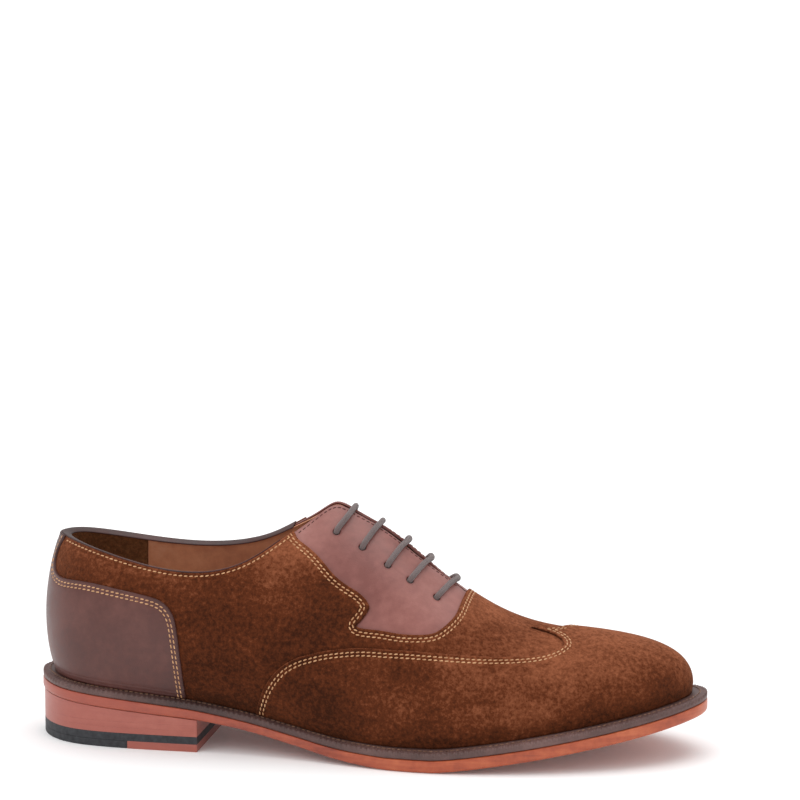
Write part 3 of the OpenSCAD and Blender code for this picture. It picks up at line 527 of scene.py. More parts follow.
# Points nearer than ON_EDGE to a cut lie on it; the open grid starts beyond the rings
ON_EDGE, TOO_NEAR, RINGS_END = 0.17, 0.12, 4.9
GROOVE_DEEP, GROOVE_HALF = 0.16, 0.55
# Two rows of stitches, by their distances from the cut edge
ROWS = (1.8, 3.3)
# How much of its distance a row keeps where its line turns tightly
ROW_KEEPS = 0.93


def eyelet_rim(side, u, t, radius, count=28):
    """A round hole's rim, in [u, t]."""
    e = 1e-3
    here = surf(side, [u, u + e, u], [t, t, t + e], 0)
    su, st = (here[1] - here[0]) / e, (here[2] - here[0]) / e
    n = unit(np.cross(su, st))
    x = unit(su)
    y = np.cross(n, x)
    angles = np.linspace(0, 2 * np.pi, count, endpoint=False)
    offsets = radius * (np.cos(angles)[:, None] * x + np.sin(angles)[:, None] * y)
    solved = np.linalg.lstsq(np.stack([su, st], 1), offsets.T, rcond=None)[0].T
    return np.array([u, t]) + solved


def cut_leather(side, edges, outer, inner, holes=(), grooves=(), grid=2.4):
    """One side of a piece cut from leather. edges are pattern lines end to end, anticlockwise in
    [u, t], each marked True where it is a cut edge; the others join the next piece."""
    border, free = [], []
    for line, is_cut in edges:
        line = evened(side, line, 1.1)
        border.append(line[:-1])
        if is_cut:
            free.append(line)
    border = np.concatenate(border)
    rims = [eyelet_rim(side, u, t, r) for u, t, r in holes]
    tree = near_tree(np.concatenate(
        [surf(side, *evened(side, line, 0.3).T, 0) for line in free]
        + [surf(side, *eyelet_rim(side, u, t, r, 80).T, 0) for u, t, r in holes]))
    rings = [moved(side, evened(side, line, 1.2), r) for line in free for r in RING_DISTANCES]
    rings += [eyelet_rim(side, u, t, r + extra) for u, t, r in holes for extra in (0.2, 0.5, 1.0)]
    u, t = np.meshgrid(np.arange(0, LAST_RIB, grid / PATTERN[0]), np.arange(0, 1, grid / PATTERN[1]))
    loose = np.stack([u.ravel(), t.ravel()], 1)
    flat_border = border * PATTERN
    border_tree = near_tree(np.c_[flat_border, np.zeros(len(border))])
    loose = loose[within(loose * PATTERN, flat_border)]
    loose = loose[nearest(border_tree, np.c_[loose * PATTERN, np.zeros(len(loose))]) > 1.0]
    if free or holes:
        loose = loose[nearest(tree, surf(side, *loose.T, 0)) > RINGS_END]
    ringed = np.concatenate(rings) if rings else np.empty((0, 2))
    if len(ringed):
        ringed = ringed[within(ringed * PATTERN, flat_border)]
        seam_gap = nearest(border_tree, np.c_[ringed * PATTERN, np.zeros(len(ringed))])
        ringed = ringed[(seam_gap > TOO_NEAR) & (nearest(tree, surf(side, *ringed.T, 0)) > TOO_NEAR)]
    points = np.concatenate([border] + rims + [ringed, loose])
    loops, start = [], 0
    for loop in [border] + rims:
        loops += [(start + i, start + (i + 1) % len(loop)) for i in range(len(loop))]
        start += len(loop)
    flat, _, triangles, *_ = delaunay_2d_cdt([Vector(p) for p in points * PATTERN], loops, [], 1, 1e-4)
    uv = np.array([tuple(p) for p in flat]) / PATTERN
    uv[:, 1] = np.clip(uv[:, 1], 0, 1)
    triangles = np.array(triangles)
    for rim in rims:
        middle = uv[triangles].mean(1)
        triangles = triangles[~within(middle * PATTERN, rim * PATTERN)]
    edge_mm = nearest(tree, surf(side, *uv.T, 0)) if (free or holes) else np.full(len(uv), 9.0)
    edge_mm = np.where(edge_mm < ON_EDGE, 0, edge_mm)
    inset = np.clip(EDGE_ROUND - edge_mm, 0, EDGE_ROUND)
    d = outer - (EDGE_ROUND - np.sqrt(EDGE_ROUND**2 - inset**2))
    for place in grooves:
        d -= GROOVE_DEEP * np.exp(-(((edge_mm - place) / GROOVE_HALF) ** 2))
    top = surf(side, *uv.T, d)
    low = surf(side, *uv.T, inner)
    ways = dict.fromkeys((tri[a], tri[b]) for tri in triangles for a, b in ((0, 1), (1, 2), (2, 0)))
    walls = [(a, b) for a, b in ways if (b, a) not in ways and max(edge_mm[a], edge_mm[b]) < ON_EDGE]
    n = len(uv)
    a, b, c = top[triangles[:, 0]], top[triangles[:, 1]], top[triangles[:, 2]]
    sense = (np.cross(b - a, c - a) * own_normal(side, *uv[triangles[:, 0]].T)).sum()
    faces = [tuple(f) for f in triangles] + [(f[2] + n, f[1] + n, f[0] + n) for f in triangles]
    faces += [(b, a, a + n, b + n) for a, b in walls]
    if sense < 0:
        faces = [f[::-1] for f in faces]
    return np.concatenate([top, low]), faces, np.concatenate([edge_mm, edge_mm])


def leather_piece(name, edges_of, outer, inner, finish, sides=SIDES, **cut):
    """Cuts a piece on one side or both and sews the halves into one mesh."""
    verts, faces, edge = np.empty((0, 3)), [], np.empty(0)
    for side in sides:
        v, f, e = cut_leather(side, edges_of(side), outer, inner, **cut)
        faces += [tuple(i + len(verts) for i in face) for face in f]
        verts, edge = np.concatenate([verts, v]), np.concatenate([edge, e])
    piece = add_piece(name, verts, faces, finish, 45)
    attribute = piece.data.attributes.new("edge_mm", "FLOAT", "POINT")
    attribute.data.foreach_set("value", edge.astype(np.float32))
    bpy.ops.object.mode_set(mode="EDIT")
    bpy.ops.mesh.select_all(action="SELECT")
    bpy.ops.mesh.remove_doubles(threshold=0.00002)
    bpy.ops.object.mode_set(mode="OBJECT")
    return piece


FACING_EDGE = bent([
    (4.7, 1), (4.88, 0.91), (5.48, 0.73), (6.01, 0.66), (6.17, 0.626), (6.16, 0.6), (6.05, 0.56),
    (5.97, 0.541), (6.1, 0.534), (6.39, 0.539), (6.79, 0.551), (7.18, 0.589), (7.39, 0.647),
    (7.56, 0.752), (7.62, 0.877), (7.64, 1),
])


def body_edges(side):
    return [
        (straight((0, 0), (LAST_RIB, 0), 400), True),
        (straight((LAST_RIB, 0), (LAST_RIB, 1)), False),
        (straight((LAST_RIB, 1), (7.64, 1), 200), False),
        (FACING_EDGE[::-1], True),
        (straight((4.7, 1), (0, 1), 200), True),
        (straight((0, 1), (0, 0)), False),
    ]


# Suede: calf split and buffed to a nap. The nap lies both ways, so it shows as soft light
# and dark patches 25 mm across, with a fine speckle of fibre tips on top, drawn at 1 mm.
def suede(name, dark, mid, light):
    made, tree, shader, where = material(name)
    patches = noise(tree, where, 25, 2, 0.5)
    strokes = noise(tree, node(tree, "Mapping", {"Vector": where, "Scale": (0.6, 1, 1.5)}).outputs[0], 7, 3, 0.6)
    speckle = noise(tree, where, 0.9, 3, 0.75)
    mixed = weighted(tree, 0.0, (patches, 0.55), (strokes, 0.3), (speckle, 0.75))
    # Painted light: the suede is coloured paler where it faces up and darker down the walls, as light from above falls
    # on it
    facing_up = node(tree, "SeparateXYZ", {0: node(tree, "TexCoord").outputs["Normal"]}).outputs["Z"]
    mixed = maths(tree, "ADD", mixed, remap(tree, facing_up, -0.1, 0.9, -0.14, 0.14))
    dye(tree, shader, remap(tree, mixed, 0.56, 1.04), (0.0, dark), (0.5, mid), (1.0, light))
    bump(tree, shader, maths(tree, "ADD", speckle, noise(tree, where, 0.6, 2, 0.7)), 0.7, 0.6)
    set_shader(shader, Roughness=0.95, Sheen_Weight=0.3, Sheen_Roughness=0.5, Specular_IOR_Level=0.1)
    shader.inputs["Sheen Tint"].default_value = linear("#d9906a")
    return made


brown_suede = suede("brown_calf_suede", "#331609", "#5b2c16", "#8b5136")

suede_body = leather_piece("suede_body", body_edges, 0, -BODY_T, brown_suede, grooves=ROWS)
belongs(suede_body, "shoe", "suede", "suede_body")

# ---- wing cap ----
# A second skin of the same suede over the toe, whose wings sweep back low along both
# sides to the waist and whose lobes curl up to a point on the vamp. Stitched over it.
WING_SWEEP = [
    (4.2, 0.0), (4.23, 0.08), (4.36, 0.23), (4.59, 0.35), (4.88, 0.41), (5.24, 0.434), (5.6, 0.447), (6.04, 0.46),
    (6.47, 0.47), (6.74, 0.481), (7.22, 0.506), (7.78, 0.544), (8.49, 0.6), (8.95, 0.643),
    (9.22, 0.69), (9.39, 0.746), (9.42, 0.785),
]
# The lobes meet in a peak that lies a little to the outer side of the spine
OUTER_LOBE = bent(WING_SWEEP + [(9.37, 0.83), (9.22, 0.873), (9.04, 0.893), (8.81, 0.903)])
INNER_LOBE_STARTS = bent([(8.81, 0.905), (8.98, 0.918), (9.15, 0.945), (9.3, 0.968), (9.46, 1)])
INNER_LOBE = bent(WING_SWEEP + [(9.45, 0.84), (9.5, 0.9), (9.5, 0.95), (9.46, 1)])
WING_OVER = 1.15


def wing_edges(side):
    lobe = [(OUTER_LOBE[::-1], True)] if side == OUTSIDE else [(INNER_LOBE[::-1], True)]
    if side == OUTSIDE:
        lobe.insert(0, (INNER_LOBE_STARTS[::-1], True))
    return [
        (straight((4.2, 0), (LAST_RIB, 0), 300), True),
        (straight((LAST_RIB, 0), (LAST_RIB, 1)), False),
        (straight((LAST_RIB, 1), (9.46, 1), 150), False),
    ] + lobe


wing_cap = leather_piece("wing_cap", wing_edges, WING_OVER, 0.06, brown_suede, grooves=ROWS)
belongs(wing_cap, "shoe", "suede", "wing_cap")

# ---- counter cover ----
# Smooth leather over the heel in one piece round both sides, with a narrow neck that
# runs up the back seam to the topline. Its edge is stitched down in two rows.
FOXING_EDGE = bent([
    (0.78, 1.0), (0.64, 0.918), (0.56, 0.84), (0.6, 0.77), (0.76, 0.725), (1.1, 0.708), (1.78, 0.743), (2.38, 0.763),
    (2.72, 0.766), (2.91, 0.743), (3.04, 0.675), (3.11, 0.556), (3.16, 0.291), (3.19, 0.04), (3.19, 0.0),
])
FOXING_OVER = 1.05


def foxing_edges(side):
    return [
        (straight((0, 0), (3.19, 0), 100), True),
        (FOXING_EDGE[::-1], True),
        (straight((0.78, 1), (0, 1)), True),
        (straight((0, 1), (0, 0)), False),
    ]


# Smooth calf, dyed red-brown, with a low waxy sheen: hair cells 0.5 mm across, drawn at
# 0.9 mm so that they show, soft cloudy dyeing, and a slightly darker burnish near the edges
def smooth_calf(name, dark, mid, light, roughness=0.42, burnish=0.35):
    made, tree, shader, where = material(name)
    fine = noise(tree, where, 2.2, 3, 0.6)
    mixed = remap(tree, weighted(tree, noise(tree, where, 30, 3, 0.55), (fine, 0.35)), 0.45, 0.92)
    edge = node(tree, "Attribute", attribute_name="edge_mm").outputs["Fac"]
    mixed = maths(tree, "SUBTRACT", mixed, remap(tree, edge, 0.0, 1.6, burnish, 0.0), use_clamp=True)
    dye(tree, shader, mixed, (0.0, dark), (0.5, mid), (1.0, light))
    cells = node(tree, "TexVoronoi", {"Vector": where, "Scale": 1000 / 0.9}, feature="DISTANCE_TO_EDGE")
    bump(tree, shader, weighted(tree, remap(tree, cells.outputs[0], 0.0, 0.18), (fine, 0.8)), 0.12, 0.2)
    gloss = remap(tree, fine, 0.3, 0.7, roughness - 0.05, roughness + 0.07)
    tree.links.new(gloss, shader.inputs["Roughness"])
    set_shader(shader, Specular_IOR_Level=0.45, Coat_Weight=0.08, Coat_Roughness=0.35)
    return made


counter_calf = smooth_calf("red_brown_calf", "#3e1c17", "#532a23", "#673b33")
heel_foxing = leather_piece("heel_foxing", foxing_edges, FOXING_OVER, 0.06, counter_calf, grooves=ROWS)
belongs(heel_foxing, "shoe", "smooth_leather", "heel_foxing")

# ---- lace facings ----
# The two smooth leather fronts that close over the tongue, set under the suede's edge.
# Each has five plain punched holes, whose rims turn in a little.
FACING_OUT, FACING_T = -1.25, 1.2
HOLE_R = 1.6
HOLES = [(u, t, HOLE_R) for u, t in EYELETS]
FACING_FOOT = bent([
    (4.5, 0.93), (4.75, 0.83), (5.25, 0.7), (5.75, 0.56), (6, 0.47), (6.5, 0.46),
    (7, 0.5), (7.3, 0.54), (7.6, 0.62), (7.8, 0.75), (7.85, 0.86),
])
FACING_TOE = bent([(7.85, 0.86), (7.83, 0.95), (7.7, 0.985), (7.58, 1)])
# Painted light: the counter's red-brown calf in lighter shades, for the light that falls on the facings from above
top_lit_facing_calf = smooth_calf("top_lit_red_brown_calf", "#743f38", "#8d564e", "#a56e66")


def facing_edges(side):
    return [
        (FACING_FOOT, True),
        (FACING_TOE, True),
        (straight((7.58, 1), (4.5, 1), 200), True),
        (straight((4.5, 1), (4.5, 0.93), 10), True),
    ]


for side, word in NAMED_SIDES:
    facing = leather_piece("facing_" + word, facing_edges, FACING_OUT, FACING_OUT - FACING_T, top_lit_facing_calf,
                           sides=[side], holes=HOLES, grooves=(), grid=1.8)
    belongs(facing, "shoe", "smooth_leather", "facing_" + word)

# ---- topline binding ----
# A rolled strip of dark leather that closes the top edge of suede and lining together,
# from one facing round the heel to the other.
dark_calf = smooth_calf("dark_edge_calf", "#240a06", "#3a130d", "#50221b", 0.5, 0)
BINDING_REACH = 4.5


def binding_rings():
    stops = [(OUTSIDE, u) for u in np.linspace(BINDING_REACH, 0, 180)[:-1]]
    stops += [(INSIDE, u) for u in np.linspace(0, BINDING_REACH, 180)]
    rings = []
    for side, u in stops:
        ua = np.array([u])
        rise = unit(bezier_slope(rib(side, ua), np.array([1.0])))[0]
        base = surf(side, ua, [1.0], -2.0)[0]
        across = normal(side, ua, np.array([1.0]))[0]
        angles = np.linspace(0, 2 * np.pi, 16, endpoint=False)
        wide = np.sign(np.cos(angles)) * np.abs(np.cos(angles)) ** 0.5 * 2.25
        high = np.sin(angles) * 0.5 + 0.2
        rings.append(base + wide[:, None] * across + high[:, None] * rise)
    return np.array(rings)


rings = binding_rings()
binding = add_piece("topline_binding", rings.reshape(-1, 3), sweep(rings), dark_calf, 60)
belongs(binding, "shoe", "binding_leather", "topline_binding")

# ---- linings ----
# Tan lining leather inside the quarters, butted against a suede grip that holds the
# heel, and a lining in the vamp. All are glued to the upper and trimmed at the topline.
LINING_OUT, LINING_T = -2.95, 1.05
GRIP_ENDS_U, QUARTER_LINING_U, VAMP_LINING_U = 2.2, (2.21, 7.58), 7.75
tan_lining = smooth_calf("tan_lining_leather", "#a1664a", "#c58764", "#d8a07f", 0.6, 0.2)
grip_suede = suede("tan_grip_suede", "#5b3a22", "#7c5233", "#9a6c46")


def band_edges(from_u, to_u, cut_start=True, cut_end=True, cut_top=True):
    """A band of the last between two ribs, from the foot to the top."""
    def edges(side):
        return [
            (straight((from_u, 0), (to_u, 0), 200), True),
            (straight((to_u, 0), (to_u, 1)), cut_end),
            (straight((to_u, 1), (from_u, 1), 200), cut_top),
            (straight((from_u, 1), (from_u, 0)), cut_start),
        ]
    return edges


for side, word in NAMED_SIDES:
    lining = leather_piece("quarter_lining_" + word, band_edges(*QUARTER_LINING_U), LINING_OUT,
                           LINING_OUT - LINING_T, tan_lining, sides=[side], holes=HOLES, grid=2.8)
    belongs(lining, "shoe", "lining_leather", "quarter_lining_" + word)
heel_grip = leather_piece("heel_grip", band_edges(0, GRIP_ENDS_U, cut_start=False), LINING_OUT,
                          LINING_OUT - LINING_T, grip_suede, grid=2.8)
belongs(heel_grip, "shoe", "grip_suede", "heel_grip")
vamp_lining = leather_piece("vamp_lining", band_edges(VAMP_LINING_U, LAST_RIB, cut_end=False, cut_top=False),
                            LINING_OUT, LINING_OUT - LINING_T, tan_lining, grid=4)
belongs(vamp_lining, "shoe", "lining_leather", "vamp_lining")

# ---- tongue ----
# Suede faced with lining leather, sewn in under the throat and free from there up. It
# stands a little above the facings at the top.
TONGUE_OUT, TONGUE_T, TONGUE_LINING_T = -7.75, 1.4, 1.0
TONGUE_ROOT_U, TONGUE_TOP_U, TONGUE_HALF_T, TONGUE_REACH = 8.25, 5.25, 0.2, 2.5


def tongue_at(u, v, d):
    """A row of points across the tongue, from its outside edge (v = -1) to its inside (1)."""
    ua = np.full(len(v), u)
    left = surf(OUTSIDE, ua, 1 - np.abs(v) * TONGUE_HALF_T, d)
    right = surf(INSIDE, ua, 1 - np.abs(v) * TONGUE_HALF_T, d)
    flat = np.clip(np.abs(v) / 0.12, 0, 1)[:, None]
    own = np.where((v < 0)[:, None], left, right)
    return own * flat + (left + right) / 2 * (1 - flat)


def tongue_layer(name, outer, inner, finish):
    v = np.linspace(-1, 1, 41)
    tip, below = (tongue_at(u, np.zeros(1), outer)[0] for u in (TONGUE_TOP_U, TONGUE_TOP_U + 0.25))
    lead = unit(tip - below)
    stops = [(u, 0.0) for u in np.linspace(TONGUE_ROOT_U, TONGUE_TOP_U, 60)]
    stops += [(TONGUE_TOP_U, s) for s in np.linspace(0, TONGUE_REACH, 12)[1:]]
    rings = []
    for u, reach in stops:
        # The free end is cut to a shallow arc
        bow = -2.5 * v**4 * (reach / TONGUE_REACH)
        shift = (reach + bow)[:, None] * lead
        edge = 0.4 * np.clip((np.abs(v) - 0.96) / 0.04, 0, 1)
        rings.append(np.concatenate([
            tongue_at(u, v, outer - edge) + shift, (tongue_at(u, v, inner + edge) + shift)[::-1]]))
    rings = np.array(rings)
    return add_piece(name, rings.reshape(-1, 3), sweep(rings), finish, 50)


tongue = tongue_layer("tongue", TONGUE_OUT, TONGUE_OUT - TONGUE_T, brown_suede)
belongs(tongue, "tongue", "suede", "tongue")
inner_face = TONGUE_OUT - TONGUE_T - 0.05
tongue_lining = tongue_layer("tongue_lining", inner_face, inner_face - TONGUE_LINING_T, tan_lining)
belongs(tongue_lining, "tongue", "lining_leather", "tongue_lining")

# ---- seams ----
# Linen thread in a light tan: two rows 1.5 mm apart along the wing, the counter and the
# facing, one row below the topline, and a dark row round the throat. Stitches are 1.7 mm
# long at a pitch of 2.4 mm, and each is one short round length of thread.
PITCH, STITCH_LONG, STITCH_WIDE, STITCH_HIGH = 2.4, 1.7, 0.6, 0.42
# A row is split where its line jumps by more than SPLIT_GAP mm, and scraps are dropped
SPLIT_GAP, SHORTEST_RUN = 4, 8
bpy.ops.object.select_all(action="DESELECT")
bpy.ops.mesh.primitive_uv_sphere_add(segments=8, ring_count=6, radius=1)
one_stitch = bpy.context.object
bpy.ops.object.mode_set(mode="EDIT")
bpy.ops.mesh.select_all(action="SELECT")
bpy.ops.transform.rotate(value=math.pi / 2, orient_axis="Y", center_override=(0, 0, 0))
bpy.ops.transform.resize(value=(STITCH_LONG / 2, STITCH_WIDE / 2, STITCH_HIGH / 2), center_override=(0, 0, 0))
bpy.ops.object.mode_set(mode="OBJECT")
stitch_verts = np.array([tuple(v.co) for v in one_stitch.data.vertices])
# The ends are fuller than an ellipsoid's, as a thread's are
stitch_verts[:, 1:] *= (1 + 0.5 * (2 * np.abs(stitch_verts[:, :1]) / STITCH_LONG) ** 2)


def from_lowest(face):
    """The same face from its lowest point, with a four-sided one's diagonal kept."""
    return min(face[k:] + face[:k] for k in ((0, 2) if len(face) == 4 else range(len(face))))


# A new sphere's points come in no fixed order, so they are sorted here
order = np.lexsort(np.round(stitch_verts, 4).T)
rank = {old: new for new, old in enumerate(order.tolist())}
stitch_faces = sorted(from_lowest(tuple(rank[i] for i in p.vertices)) for p in one_stitch.data.polygons)
stitch_verts = stitch_verts[order]
bpy.data.objects.remove(one_stitch)


def mottled(name, blotch, dark, light, raised=None, **values):
    """A material of two shades in blotches of (size in mm, detail, roughness), raised by a
    bump of (strength, depth in mm)."""
    made, tree, shader, where = material(name)
    factor = noise(tree, where, *blotch)
    dye(tree, shader, factor, (0.3, dark), (0.7, light))
    if raised:
        bump(tree, shader, factor, *raised)
    set_shader(shader, **values)
    return made


def thread(name, dark, light):
    """Waxed thread, laid in a twist that shows as a fine mottle."""
    return mottled(name, (0.8, 2), dark, light, (0.4, 0.2), Roughness=0.6, Sheen_Weight=0.1)


def place_stitches(spots):
    """Copies the stitch to each (place, travel, face normal)."""
    verts, faces = [], []
    for p, travel, n in spots:
        y = unit(np.cross(n, travel))
        # Each stitch is laid a little across its row
        x = unit(travel + 0.14 * y)
        y = unit(np.cross(n, x))
        faces += [tuple(i + len(verts) * len(stitch_verts) for i in f) for f in stitch_faces]
        verts.append(p + stitch_verts[:, :1] * x + stitch_verts[:, 1:2] * y + stitch_verts[:, 2:] * n)
    return np.concatenate(verts), faces


def row_spots(side, line, lift):
    line = evened(side, line, PITCH)
    middle = (line[:-1] + line[1:]) / 2
    p = surf(side, *middle.T, lift)
    travel = unit(surf(side, *line[1:].T, lift) - surf(side, *line[:-1].T, lift))
    return list(zip(p, travel, normal(side, *middle.T)))


def seam(name, rows, finish, sides=SIDES):
    """Sews rows of (edge line, distance to its left, lift) down the sides of the shoe."""
    spots = []
    for side in sides:
        edges = near_tree(np.concatenate([surf(side, *evened(side, line, 0.5).T, 0) for line, _, _ in rows]))
        for line, dist, lift in rows:
            kept = moved(side, evened(side, line, 0.5), dist)
            # Where two edges come close, a row keeps its distance from both
            kept = kept[nearest(edges, surf(side, *kept.T, 0)) > ROW_KEEPS * abs(dist)]
            gaps = np.linalg.norm(np.diff(surf(side, *kept.T, 0), axis=0), axis=1)
            for part in np.split(kept, np.where(gaps > SPLIT_GAP)[0] + 1):
                if len(part) > SHORTEST_RUN:
                    spots += row_spots(side, part, lift)
    verts, faces = place_stitches(spots)
    piece = add_piece(name, verts, faces, finish, 80)
    belongs(piece, "shoe", "waxed_cotton")


def rows_in(edge, lift, distances=ROWS):
    return [(edge, -d, lift) for d in distances]


tan_thread = thread("tan_linen_thread", "#a8744a", "#d6a678")
dark_thread = thread("dark_linen_thread", "#3a120e", "#5c231b")
SUNK = -0.1
seam("wing_seam_outside", rows_in(OUTER_LOBE, WING_OVER + SUNK) + rows_in(INNER_LOBE_STARTS, WING_OVER + SUNK),
     tan_thread, sides=[OUTSIDE])
seam("wing_seam_inside", rows_in(INNER_LOBE, WING_OVER + SUNK), tan_thread, sides=[INSIDE])
seam("facing_seam", rows_in(FACING_EDGE, SUNK), tan_thread)
seam("counter_seam", rows_in(FOXING_EDGE[24:], FOXING_OVER + SUNK), tan_thread)
seam("neck_seam", rows_in(FOXING_EDGE[:24], FOXING_OVER + SUNK, (1.5,)), tan_thread)
seam("topline_seam", [(straight((0.86, 1), (4.62, 1), 200), -1.6, SUNK)], tan_thread)
seam("throat_seam", [(straight((4.72, 1), (7.5, 1), 200), -1.8, FACING_OUT + 0.02)], dark_thread)

# ---- outsole ----
# Vegetable-tanned sole leather, 5 mm thick, its edge trimmed, stained orange and
# burnished with wax. It runs the whole length, over the heel.
WELT_SHOWS = [(0, 7), (1, 5.5), (2, 4.5), (4.5, 4.8), (6, 6.5), (7, 7.7), (8, 8), (13, 8)]


def outline(side, u, off):
    """The last's foot in plan, moved outward by off."""
    u = np.atleast_1d(np.asarray(u, float))
    p, s = rib(side, u)[:, 0], rib_slope(side, u)[:, 0]
    away = -outward(side) * unit(np.stack([s[:, 1], -s[:, 0]], 1))
    return p[:, :2] + [0, OVER_TO_CENTRE] + np.reshape(off, (-1, 1)) * away


def welt_edge(side, u, inward=0.0):
    """The welt's edge in plan, or a line inward of it."""
    return outline(side, u, curve(WELT_SHOWS, np.atleast_1d(np.asarray(u, float))) - inward)


def round_the_shoe(step):
    """Stops all round the shoe, about a step apart: outside to the toe, and back inside."""
    stops = []
    for side in SIDES:
        u = np.linspace(0, LAST_RIB, 800)
        p = welt_edge(side, u)
        run = np.concatenate([[0], np.cumsum(np.linalg.norm(np.diff(p, axis=0), axis=1))])
        at = np.linspace(0, run[-1], round(run[-1] / step) + 1)
        stops.append(np.interp(at, run, u))
    return [(OUTSIDE, u) for u in stops[0][:-1]] + [(INSIDE, u) for u in stops[1][::-1][:-1]]


def edge_rings(stops, profile, place=welt_edge):
    """Rings round the shoe of (distance inward, surface to stand on, rise above it)."""
    rings = []
    for i, (side, u) in enumerate(stops):
        ring = []
        for inward, ground, rise in profile(i):
            x, y = place(side, u, inward)[0]
            ring.append((x, y, ground(x) + rise))
        rings.append(ring)
    return np.array(rings)


# Sole leather: fibres pressed in thin layers along the edge, 0.8 mm apart, stained
# orange and deeper red-brown towards the heel, under a burnished wax finish
def sole_leather(name, dark, mid, light, deep):
    made, tree, shader, where = material(name)
    layers = noise(tree, node(tree, "Mapping", {"Vector": where, "Scale": (0.08, 0.08, 1)}).outputs[0], 0.9, 3, 0.6)
    grain = noise(tree, where, 1.4, 2, 0.7)
    mixed = weighted(tree, noise(tree, where, 9, 3, 0.6), (layers, 0.7), (grain, 0.4))
    mixed = remap(tree, mixed, 0.75, 1.35)
    shades = ramp(tree, mixed, (0.0, dark), (0.5, mid), (1.0, light))
    x = node(tree, "SeparateXYZ", {0: where}).outputs["X"]
    to_heel = remap(tree, x, 0.04, -0.11, 0.0, 0.75)
    stained = node(tree, "Mix", {"Factor": to_heel, 6: shades, 7: linear(deep)}, data_type="RGBA", blend_type="MIX")
    tree.links.new(stained.outputs[2], shader.inputs["Base Color"])
    bump(tree, shader, mixed, 0.25, 0.3)
    set_shader(shader, Roughness=0.42, Coat_Weight=0.15, Coat_Roughness=0.3)
    return made


sole_stain = sole_leather("stained_sole_leather", "#7e3018", "#a84b28", "#be623a", "#9c4a3c")
stops = round_the_shoe(1.5)


def outsole_profile(_):
    return [
        (0.5, sole_over, 0), (0.12, sole_over, -0.25), (0.0, sole_over, -0.8), (0.0, sole_under, 1.3),
        (0.25, sole_under, 0.55), (0.8, sole_under, 0.1), (1.5, sole_under, 0), (4.2, sole_under, 0),
        (4.5, sole_under, 0.35), (4.9, sole_under, 0.35), (5.2, sole_under, 0),
    ]


def flat_piece(rings, stops, finish, name):
    """Closes rings round the shoe with an upper and a lower face, ruled from side to side."""
    n, m = len(rings), len(rings[0])
    verts = rings.reshape(-1, 3)
    faces = [(i * m + k + 1, (i + 1) % n * m + k + 1, (i + 1) % n * m + k, i * m + k)
             for i in range(n) for k in range(m - 1)]
    half = sum(1 for s in stops if s[0] == OUTSIDE)
    for top, k in ((True, 0), (False, m - 1)):
        a, b = 1, n - 1
        fan = [(0, 1, n - 1)]
        while b - a > 1:
            if a < half and (verts[a * m + k, 0] < verts[b * m + k, 0] or b - 1 <= half):
                fan.append((a, a + 1, b))
                a += 1
            else:
                fan.append((a, b - 1, b))
                b -= 1
        faces += [tuple(j * m + k for j in (f if top else f[::-1])) for f in fan]
    return add_piece(name, verts, faces, finish, 35)


rings = edge_rings(stops, outsole_profile)
outsole = flat_piece(rings, stops, sole_stain, "outsole")
belongs(outsole, "shoe", "sole_leather", "outsole")

# ---- welt ----
# A strip of dark leather sewn to the upper and stitched down on the outsole all round.
# Its top edge is wheeled: pressed with a hot toothed wheel to a row of ribs 2.4 mm apart.
WHEEL_PITCH, WHEEL_STEPS, WELT_STITCH_IN = 2.4, 6, 3.3
welt_leather = smooth_calf("waxed_welt_leather", "#372422", "#553c38", "#70534e", 0.5, 0)
stops = round_the_shoe(WHEEL_PITCH / WHEEL_STEPS)


def welt_profile(i):
    tooth = 0.5 - 0.5 * math.cos(2 * math.pi * i / WHEEL_STEPS)
    press = 0.8 * tooth
    return [
        (14.5, sole_over, FIT), (14.5, welt_top, 0), (5.0, welt_top, 0), (3.4, welt_top, -0.1),
        (2.6, welt_top, -0.15 * tooth), (1.2, welt_top, -0.15 - 0.8 * press),
        (0.35 + 0.35 * tooth, welt_top, -0.3 - press), (0.12 + 0.3 * tooth, welt_top, -0.75 - press),
        (0.1, welt_top, -1.9), (0.15, sole_over, 0.5), (0.55, sole_over, FIT),
    ]


rings = edge_rings(stops, welt_profile)[::-1]
welt = add_piece("welt", rings.reshape(-1, 3), sweep(rings, closed=True), welt_leather, 50)
belongs(welt, "shoe", "welt_leather", "welt")

welt_thread = thread("brown_welt_thread", "#5a3a2c", "#8f6a50")
spots = []
stops = round_the_shoe(WHEEL_PITCH)
lines = [np.array([*welt_edge(side, u, WELT_STITCH_IN)[0], 0]) for side, u in stops]
for a, b in zip(lines, lines[1:] + lines[:1]):
    p = (a + b) / 2
    a[2], b[2] = welt_top(a[0]), welt_top(b[0])
    p[2] = welt_top(p[0]) + 0.05
    spots.append((p, unit(b - a), np.array([0, 0, 1.0])))
verts, faces = place_stitches(spots)
welt_seam = add_piece("welt_seam", verts, faces, welt_thread, 80)
belongs(welt_seam, "shoe", "waxed_cotton")

# ---- heel ----
# A stack of leather lifts on a wedge, a layer of black rubber, and a top piece that is
# rubber behind, where it wears, and leather in front. All are cut flush and burnished.
heel_leather = sole_leather("stained_heel_leather", "#8a4536", "#a65a49", "#bd7260", "#a3564a")
# Heel rubber: solid and black, dull from sanding, with a fine 1 mm texture
black_rubber = mottled("solid_black_rubber", (1.0, 3, 0.6), "#242528", "#3a3b3f", (0.3, 0.2),
                       Roughness=0.62, Specular_IOR_Level=0.4)

HEEL_INSET = 0.6
TOPLIFT_T, RUBBER_T, LIFT_T, INSERT_L = 3.3, 3.3, 2.4, 32.0
RUBBER_Z = TOPLIFT_T + FIT
LIFT_1_Z = RUBBER_Z + RUBBER_T + FIT
LIFT_2_Z = LIFT_1_Z + LIFT_T + FIT
WEDGE_Z = LIFT_2_Z + LIFT_T + FIT
PRESSED = FIT - 0.01
INSERT_X = BREAST_X - INSERT_L


